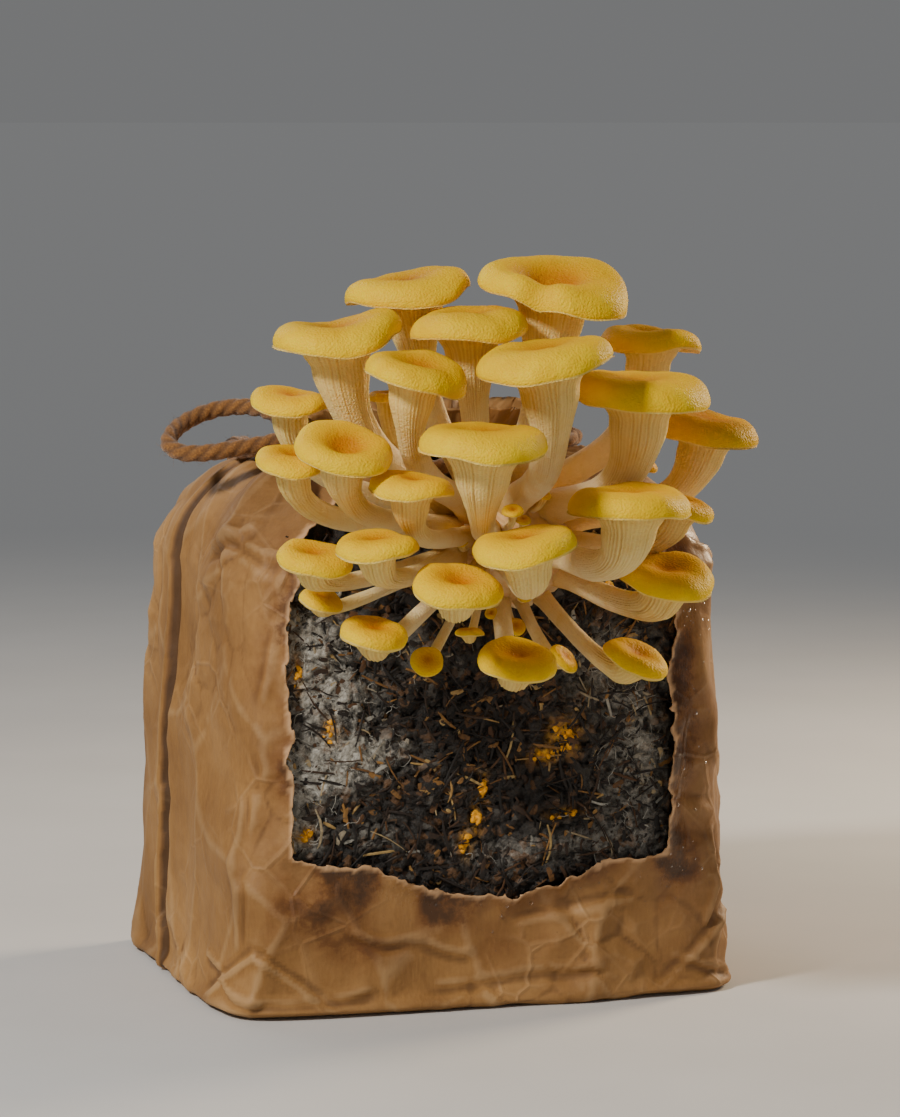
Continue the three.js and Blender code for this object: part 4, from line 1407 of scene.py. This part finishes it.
def add_sheet(paper, points, normals, faces, fields, inside):
    """The sheet with its inner side, shown round the window, and the ruffle's inside."""
    rows, columns = points.shape[:2]
    size = rows * columns
    close = (inside[faces] > -SEEN_INSIDE).all(1)
    inner_points = (points - normals * PAPER_THICKNESS).reshape(-1, 3)
    inner_faces = faces[close][:, ::-1] + size
    outer_edges = edge_walls(faces, inside, size)

    ring = points[-1]
    funnel = []
    for step in range(1, FUNNEL_ROWS + 1):
        share = step / FUNNEL_ROWS
        shrink = 1 - 0.035 - 0.55 * share**1.6
        drop = np.array([0, 0, -11.0 * share**0.8 + 0.35])
        funnel.append(ring * [shrink, shrink, 1] + drop)
    funnel = np.array(funnel).reshape(-1, 3)
    top_ring = np.arange(columns) + size - columns
    start = size * 2
    first = np.arange(columns) + start
    lip = np.stack([top_ring, np.roll(top_ring, -1), np.roll(first, -1), first], axis=-1)
    funnel_faces = grid_faces(FUNNEL_ROWS, columns, offset=start)
    last = first + (FUNNEL_ROWS - 1) * columns
    middle = start + len(funnel)
    bottom = middle + 1
    all_points = np.concatenate([
        points.reshape(-1, 3), inner_points, funnel, [funnel[-columns:].mean(0)], [[0, 0, 0.2]],
    ])
    foot_ring = np.arange(columns)
    all_faces = [faces, inner_faces, outer_edges, lip, funnel_faces, fan_faces(middle, last),
                 fan_faces(bottom, foot_ring, flip=True)]
    extra = len(funnel) + 2
    attributes = {}
    for key, field in fields.items():
        # On the inner side, the outside's ridges become painted shade; stains and tears carry through at
        # 0.9.
        inner = np.clip(field, 0, 1) * (0.9 if key != "crease_wear_and_shading" else -0.6)
        attributes[key] = np.concatenate([field.ravel(), inner.ravel(), np.zeros(extra)])
    all_points, all_faces, attributes = used_only(all_points, all_faces, attributes)
    piece = make_mesh("paper_bag_sheet", all_points, all_faces, **attributes)
    finish_piece(piece, paper, "kraft_paper", "paper_bag")


def add_bag(paper):
    angles, around = bag.even_angles(PAPER_STEP)
    profile, sharp = bag.profile(PAPER_STEP)
    wall = bag.wall(angles, profile, sharp)
    rows, columns = wall.shape[:2]
    normals = grid_normals(wall)
    v = travelled(profile[:, [0, 2]])
    u = np.arange(columns) / columns * around
    u = np.where(u > around / 2, u - around, u)
    u, v = np.meshgrid(u, v)
    height = wall[..., 2]

    # The pattern is tied to the way round at the foot, and carries on over the seam.
    out, crease_wear_and_shading = paper_relief(u, v)
    seam = smooth_step(around / 2 - SEAM_WIDTH, around / 2, np.abs(u))
    other, other_crease_wear_and_shading = paper_relief(-u, v)
    out = out * (1 - seam * 0.5) + other * seam * 0.5
    crease_wear_and_shading = crease_wear_and_shading * (1 - seam * 0.5) + other_crease_wear_and_shading * seam * 0.5
    corner = bag.levels[1, 1] - 5
    side_middle = bag.levels[1, 1] + bag.levels[1, 2] + 8
    out, crease_wear_and_shading = add_folds(u, v, out, crease_wear_and_shading, corner, side_middle)

    # The glued lap up the back.
    lap = np.abs(u) - around / 2 + LAP_WIDTH
    out = out + 0.9 * smooth_step(-0.7, 0.7, lap) * (u > 0)
    # A pale line along the lap's edge, partly wear and partly painted highlight.
    crease_wear_and_shading = crease_wear_and_shading + np.exp(-(lap / 0.9) ** 2) * 0.8 * (u > 0)

    out, crease_wear_and_shading, rise = add_pleats(out, crease_wear_and_shading, u, around, height)

    # The paper presses flat where the bag stands, and can't push out much.
    foot = smooth_step(0, 9, height)
    limit = PAPER_RISE + 1.2 * rise
    deepest = PAPER_DROP + 1.5 * rise
    out = np.where(out > 0, limit * np.tanh(out / limit), -deepest * np.tanh(-out / deepest))
    out = out * (0.35 + 0.65 * foot)
    points = wall + normals * out[..., None]
    near = sum(np.roll(out, shift, 1) for shift in (-2, 2)) / 2
    above = (np.roll(out, 2, 0) + np.roll(out, -2, 0)) / 2
    above[:2], above[-2:] = out[:2], out[-2:]
    # Painted light and shade from the relief's own bends: pale on ridges, dark in hollows.
    crease_wear_and_shading = crease_wear_and_shading + np.clip((out * 2 - near - above) * 0.8, -0.7, 0.55)

    # The torn window.
    x, z = points[..., 0], points[..., 2]
    front = (points[..., 1] < -15) & (height < NECK_MIDDLE - 2)
    ragged = fractal(flat_points(x, z), 7.5, 4, 631) * TEAR_ROUGHNESS
    ragged = ragged + fractal(flat_points(x, z), 1.9, 2, 632) * 0.45
    inside = distance_to(bag.outline, x, z) + ragged
    inside = np.where(front, inside, -1e3)
    edge = np.exp(-np.clip(-inside, 0, 60) / 5.5) * (inside > -60)
    points = points - normals * (np.minimum(out, 0) * edge * 0.8)[..., None]
    curl = edge * (0.9 + 1.3 * noise(flat_points(x, z), 15, 633))
    points = points + normals * np.clip(curl, -0.7, 2.1)[..., None]
    points[..., 2] = np.maximum(points[..., 2], 0.0)
    # Points just inside the tear are drawn back onto its edge.
    sideways = np.gradient(x, axis=1)
    right = np.gradient(inside, axis=1) / np.maximum(np.abs(sideways), 0.2) * np.sign(sideways)
    upward = np.gradient(inside, axis=0) / np.maximum(np.gradient(z, axis=0), 0.2)
    slope = np.hypot(right, upward) + 1e-6
    back = np.clip(inside / slope, 0, PAPER_STEP * 1.3) * ((inside > 0) & (inside < TEAR_REACH))
    points[..., 0] -= back * right / slope
    points[..., 2] -= back * upward / slope

    faces = grid_faces(rows, columns)
    at_corners = inside.ravel()[faces]
    keep = (at_corners < TEAR_REACH).all(1) & (at_corners < 0).any(1)
    fields = {"crease_wear_and_shading": crease_wear_and_shading, **paper_stains(x, z, inside, front)}
    add_sheet(paper, points, normals, faces[keep], fields, inside.ravel())
    return points, normals, inside


def edge_walls(faces, inside, size):
    """Quads between the two sides of the sheet along the tear."""
    edges = np.concatenate([faces[:, [k, (k + 1) % 4]] for k in range(4)])
    ordered = np.sort(edges, axis=1)
    _, first, counts = np.unique(ordered, axis=0, return_index=True, return_counts=True)
    lone = edges[first[counts == 1]]
    lone = lone[(inside[lone] > -4).all(1)]
    a, b = lone[:, 0], lone[:, 1]
    return np.stack([b, a, a + size, b + size], axis=-1)


def used_only(points, faces, attributes):
    """Leaves out the points that no face uses."""
    used = np.zeros(len(points), bool)
    for group in faces:
        used[group.ravel()] = True
    place = np.cumsum(used) - 1
    return points[used], [place[group] for group in faces], {k: v[used] for k, v in attributes.items()}


kraft = paper_material()
sheet_points, sheet_normals, sheet_inside = add_bag(kraft)


# ---- block ---------------------------------------------------------------

PAPER_TO_BLOCK = 3.4
PATCHES = [
    # kind, middle x, middle z, half width, half height, strength
    ("mould", -59, 86, 13, 10, 1.2), ("mould", -44, 90, 13, 5, 1.0), ("mould", -64, 128, 12, 18, 0.9),
    ("mould", -54, 108, 14, 10, 0.7), ("mould", -70, 74, 7, 14, 1.0), ("mould", 53, 84, 12, 28, 0.6),
    ("mould", 42, 118, 14, 13, 0.55), ("mould", -24, 124, 12, 6, 0.25), ("mould", 34, 56, 18, 6, 0.35),
    ("mould", -68, 62, 7, 4, 1.2), ("mould", 2, 54, 14, 4, 0.4), ("mould", -40, 62, 9, 5, 0.35),
    ("amber", -2, 76, 1.8, 5, 1.2), ("amber", -5, 66, 1.6, 5, 1.1), ("amber", -9, 57, 2.0, 4, 1.1),
    ("amber", 27, 93, 5, 5, 1.2), ("amber", 20, 87, 5, 2.5, 1.1), ("amber", -66, 63, 4, 2.5, 0.9),
    ("amber", 28, 66, 6, 1.6, 0.7), ("amber", -68, 118, 1.6, 8, 0.5), ("amber", -57, 98, 2.5, 4, 0.6),
]


def patch_field(kind, x, z):
    total = np.zeros(np.shape(x))
    for patch_kind, px, pz, width, tall, strength in PATCHES:
        if patch_kind == kind:
            total = total + strength * np.exp(-(((x - px) / width) ** 2 + ((z - pz) / tall) ** 2))
    return np.clip(total, 0, 1)


def block_surface(x, z):
    """Depth of the block's torn-open face, and how far it stands out."""
    flat = flat_points(x, z)
    lumps = fractal(flat, 17, 3, 701)
    wu, wv = x + noise(flat, 9, 702) * 3, z + noise(flat, 9, 703) * 3
    near, after, tilt = clods(wu, wv, 6.2, 711, 0.8)
    chunks = (0.5 - near) * 0.9 + tilt * 2.4
    cracks = -1.6 * (1 - smooth_step(0, 0.16, after - near))
    near, after, tilt = clods(wu * 0.8 + wv * 0.6, wv * 0.8 - wu * 0.6, 2.7, 721, 0.6)
    crumbs = (0.45 - near) * 0.5 + tilt * 1.7
    grit = fractal(flat, 1.5, 2, 731) * 0.3
    lift = lumps * 1.7 + chunks * 1.15 + cracks * 0.9 + crumbs * 0.7 + grit
    mould = patch_field("mould", x, z)
    smooth = fractal(flat, 4.5, 3, 741) * 0.5 + 0.5
    lift = lift * (1 - 0.55 * mould) + smooth * 0.55 * mould
    under_paper = smooth_step(1.0, 8.0, -distance_to(bag.outline, x, z)) * UNDER_PAPER
    return bag.front_y(x, z) + PAPER_TO_BLOCK + BLOCK_RELIEF * 0.42 - lift + under_paper, lift


def add_block(substrate):
    high = box_mm("substrate_block")[1]
    window_low, window_high = bag.outline.min(0) - 7, bag.outline.max(0) + 5
    columns = int((window_high[0] - window_low[0]) / BLOCK_STEP)
    rows = int((high[2] - 1 - window_low[1]) / BLOCK_STEP)
    x, z = np.meshgrid(np.linspace(window_low[0], window_high[0], columns),
                       np.linspace(window_low[1], high[2] - 1, rows))
    y, lift = block_surface(x, z)
    border = np.minimum(np.minimum(x - window_low[0], window_high[0] - x), z - window_low[1])
    y = y + 5 * (1 - smooth_step(0, 4, border))
    face = np.stack([x, y, z], axis=-1).reshape(-1, 3)
    # The relief's lift also drives the painted shade in the hollows.
    fields = {"mould": patch_field("mould", x, z), "amber": patch_field("amber", x, z), "lift": lift / 2.2}
    parts = [(face, [grid_faces(rows, columns, wrap=False)], fields)]

    # The rest of the block, behind the paper, and its rough top.
    angles, _ = bag.even_angles(4.0)
    profile, sharp = bag.profile(4.0)
    below = (profile[:, 2] < high[2]) & (profile[:, 2] > 2)
    wall = bag.wall(angles, profile[below], sharp[below], inset=BLOCK_INSET)
    wall = wall + noise(wall, 12, 751)[..., None] * 0.8
    wall[-1, :, 2] = high[2] - 2
    rings = [wall[-1] * [share, share, 1] for share in np.linspace(1, 0.04, 24)]
    wall = np.concatenate([wall, np.array(rings)[1:]])
    cover = smooth_step(high[2] - 4, high[2] - 2, wall[..., 2])
    wall[..., 2] += cover * fractal(wall, 7, 3, 753) * 1.0
    wall[..., 2] = np.minimum(wall[..., 2], high[2] - 0.3)
    rows, columns = wall.shape[:2]
    count = rows * columns
    body = np.concatenate([wall.reshape(-1, 3), [wall[-1].mean(0), [0, 0, 2.2]]])
    hull_faces = [grid_faces(rows, columns), fan_faces(count, np.arange(columns) + count - columns),
                  fan_faces(count + 1, np.arange(columns), flip=True)]
    plain = np.zeros(len(body))
    parts.append((body, hull_faces, {"mould": plain + 0.35, "amber": plain, "lift": plain}))
    add_parts("substrate_compost", parts, substrate, "substrate", "substrate_block")


def chip(rng, centre, out, kind):
    """One chip: a bent, tapering strip of straw, bark or fibre."""
    straw = rng.random() < 0.5
    length = 3.0 + 15 * rng.random() ** 2.2 if straw else rng.uniform(1.6, 5.5)
    width = rng.uniform(0.35, 1.0) if straw else rng.uniform(0.8, 2.2)
    thick = rng.uniform(0.14, 0.35)
    turn = rng.uniform(0, math.pi)
    lean = rng.normal(0, 0.16)
    along = np.array([math.cos(turn), lean, math.sin(turn)])
    along = unit(along - out * (along @ out) * 0.8)
    side = unit(np.cross(out, along))
    bend = rng.normal(0, 0.28) * length
    steps = 5
    t = np.linspace(-0.5, 0.5, steps)
    line = centre + along * (t * length)[:, None] + side * ((t**2 - 0.1) * bend)[:, None]
    line = line + out * (np.cos(t * math.pi) * abs(rng.normal(0, 0.05)) * length - 0.1)[:, None]
    taper = 1 - 0.55 * np.abs(t * 2) ** 2.5 * rng.uniform(0.4, 1.0, steps)
    ring = []
    for a, b in ((1, 0.0), (0.4, 1.0), (-0.5, 0.9), (-1, 0.0), (-0.4, -1.0), (0.5, -0.9)):
        ring.append(line + side * (a * width / 2 * taper)[:, None] + out * (b * thick / 2 * taper)[:, None])
    points = np.stack(ring, axis=1).reshape(-1, 3)
    points = points + rng.normal(0, 0.035, points.shape)
    faces = [grid_faces(steps, 6), np.array([[0, 1, 2, 3, 4, 5]]), np.array([[5, 4, 3, 2, 1, 0]]) + 24]
    return points, faces, {"kind": np.full(len(points), kind)}


def scattered(rng, count, margin):
    """Places inside the window, and the block's surface there."""
    low, high = bag.outline.min(0), bag.outline.max(0)
    x, z = rng.uniform(low[0], high[0], count), rng.uniform(low[1], CHIP_TOP, count)
    keep = distance_to(bag.outline, x, z) > margin
    x, z = x[keep], z[keep]
    return x, block_surface(x, z)[0], z


def add_chips(material):
    rng = np.random.default_rng(SEED + 3)
    parts = []
    out = np.array([0, -1.0, 0.03])
    x, y, z = scattered(rng, CHIP_PLACES, -1.5)
    mould = patch_field("mould", x, z)
    for index in range(len(x)):
        if rng.random() < mould[index] * 0.6:
            continue
        kind = rng.uniform(0.0, 0.4)
        pale = rng.random()
        if pale > 0.76:
            kind = rng.uniform(0.42, 0.62)
        if pale > 0.94:
            kind = rng.uniform(0.62, 0.78)
        if rng.random() < 0.008 + mould[index] * 0.3:
            kind = rng.uniform(0.8, 0.9)
        parts.append(chip(rng, np.array([x[index], y[index] + 0.1, z[index]]), out, kind))
    add_parts("substrate_straw", parts, material, "substrate", smooth=False)


def add_threads(material):
    """Fine white threads of mycelium over the pale patches."""
    rng = np.random.default_rng(SEED + 4)
    parts = []
    x, _, z = scattered(rng, THREAD_PLACES, 2.0)
    chosen = np.flatnonzero(rng.random(len(x)) < patch_field("mould", x, z) * 0.8)
    for index in chosen:
        turns = rng.uniform(0, 2 * math.pi) + np.cumsum(rng.normal(0, 0.5, 9))
        steps = np.column_stack([np.cos(turns), np.sin(turns)]) * rng.uniform(0.45, 0.95)
        line = np.cumsum(steps, axis=0) + [x[index], z[index]]
        y = bag.front_y(line[:, 0], line[:, 1]) + PAPER_TO_BLOCK + BLOCK_RELIEF * 0.2
        path = spline(np.stack([line[:, 0], y + rng.uniform(-0.5, 0.4), line[:, 1]], -1), 14)
        width = rng.uniform(0.06, 0.16) * np.linspace(1, 0.4, len(path))
        points, faces = thin_tube(path, width, np.array([0, -1.0, 0]))
        parts.append((points, faces, {"kind": np.full(len(points), 0.9)}))
    add_parts("mycelium_threads", parts, material, "substrate")


def bead(centre, radius, out):
    """A drop or a nodule: a flattened ball resting on a surface."""
    rows, columns = BEAD_RINGS
    side = unit(np.cross(out, [0.1, 0.2, 1.0]))
    third = np.cross(out, side)
    tilt = np.linspace(0, math.pi, rows + 2)[1:-1][:, None]
    turn = np.linspace(0, 2 * math.pi, columns, endpoint=False)[None]
    ring = (np.sin(tilt) * np.cos(turn))[..., None] * side
    ring = ring + (np.sin(tilt) * np.sin(turn))[..., None] * third
    up = out * radius * BEAD_FLATNESS
    points = centre + ring * radius + np.cos(tilt)[..., None] * up
    ends = np.array([centre + up, centre - up])
    return np.concatenate([points.reshape(-1, 3), ends]), capped(rows, columns)


def add_nodules(material):
    """Amber clots in the compost, in chains and clusters."""
    rng = np.random.default_rng(SEED + 5)
    parts = []
    out = np.array([0, -1.0, 0])
    for kind, px, pz, width, tall, strength in PATCHES:
        if kind != "amber":
            continue
        for _ in range(int(6 + width * tall * 0.34)):
            x, z = px + rng.normal(0, 0.42) * width, pz + rng.normal(0, 0.42) * tall
            if distance_to(bag.outline, np.array([x]), np.array([z]))[0] < 1:
                continue
            y, _ = block_surface(np.array([x]), np.array([z]))
            centre = np.array([x, y[0] - 0.2, z])
            points, faces = bead(centre, rng.uniform(0.4, 1.5) * (0.55 + 0.4 * strength), out)
            points = points + np.stack([noise(points, 1.3, 761 + k) for k in range(3)], -1) * 0.42
            parts.append((points, faces, {"kind": np.full(len(points), 1.0)}))
    add_parts("amber_nodules", parts, material, "substrate")


def add_drops(water):
    """Water beads on the damp paper, right of the window and under it."""
    rng = np.random.default_rng(SEED + 6)
    points, normals = sheet_points.reshape(-1, 3), sheet_normals.reshape(-1, 3)
    inside = sheet_inside.ravel()
    near = (inside < -1.2) & (inside > -17) & (points[:, 1] < -40)
    right = near & (points[:, 0] > 60) & (points[:, 2] < 150)
    under = near & (points[:, 2] < 55) & (points[:, 0] > -62)
    parts = []
    for where in (right, under):
        chosen = rng.choice(np.flatnonzero(where), DROP_COUNT)
        for index in chosen:
            radius = 0.16 + LARGEST_DROP * rng.random() ** 2.6
            shift = np.array([rng.normal(0, 0.5), 0, rng.normal(0, 0.5)])
            drop, faces = bead(points[index] + shift + normals[index] * 0.02, radius, normals[index])
            parts.append((drop, faces, {}))
    add_parts("water_drops", parts, water, "kraft_paper")


add_block(substrate_material())
chips = chip_material()
add_chips(chips)
add_threads(chips)
add_nodules(chips)
add_drops(water_material())


# ---- floor, lights and finish --------------------------------------------

FLOOR_REACH = 30000
LIGHTS_AIM = (0, -60, 150)
LIGHTS = [               # name, place, width, watts and colour
    ("key", (-980, -640, 960), 210, 18.5, (1.0, 0.955, 0.89)),
    ("warm_side", (900, 300, 480), 300, 11, (1.0, 0.78, 0.52)),
    ("fill", (500, -1300, 350), 900, 1.1, (1.0, 0.97, 0.94)),
    ("back", (-300, 1200, 900), 800, 3.5, (0.97, 0.98, 1.0)),
]


def add_floor():
    corners = [(x * FLOOR_REACH, y * FLOOR_REACH, 0) for x, y in ((-1, -1), (1, -1), (1, 1), (-1, 1))]
    floor = make_mesh("floor", corners, np.array([[0, 1, 2, 3]]), smooth=False)
    floor.data.materials.append(floor_material())


def add_light(name, place, size, power, colour):
    data = bpy.data.lights.new(name, "AREA")
    data.shape = "DISK"
    data.size = size * MM
    data.energy = power
    data.color = colour
    light = bpy.data.objects.new(name, data)
    bpy.context.scene.collection.objects.link(light)
    light.location = Vector(place) * MM
    direction = Vector(place) - Vector(LIGHTS_AIM)
    light.rotation_euler = direction.to_track_quat("Z", "Y").to_euler()


def add_lights():
    for light in LIGHTS:
        add_light(*light)
    world = bpy.data.worlds.new("studio")
    world.use_nodes = True
    background = world.node_tree.nodes["Background"]
    background.inputs["Color"].default_value = (*BACKDROP, 1)
    background.inputs["Strength"].default_value = BACKDROP_STRENGTH
    bpy.context.scene.world = world


add_floor()
add_lights()
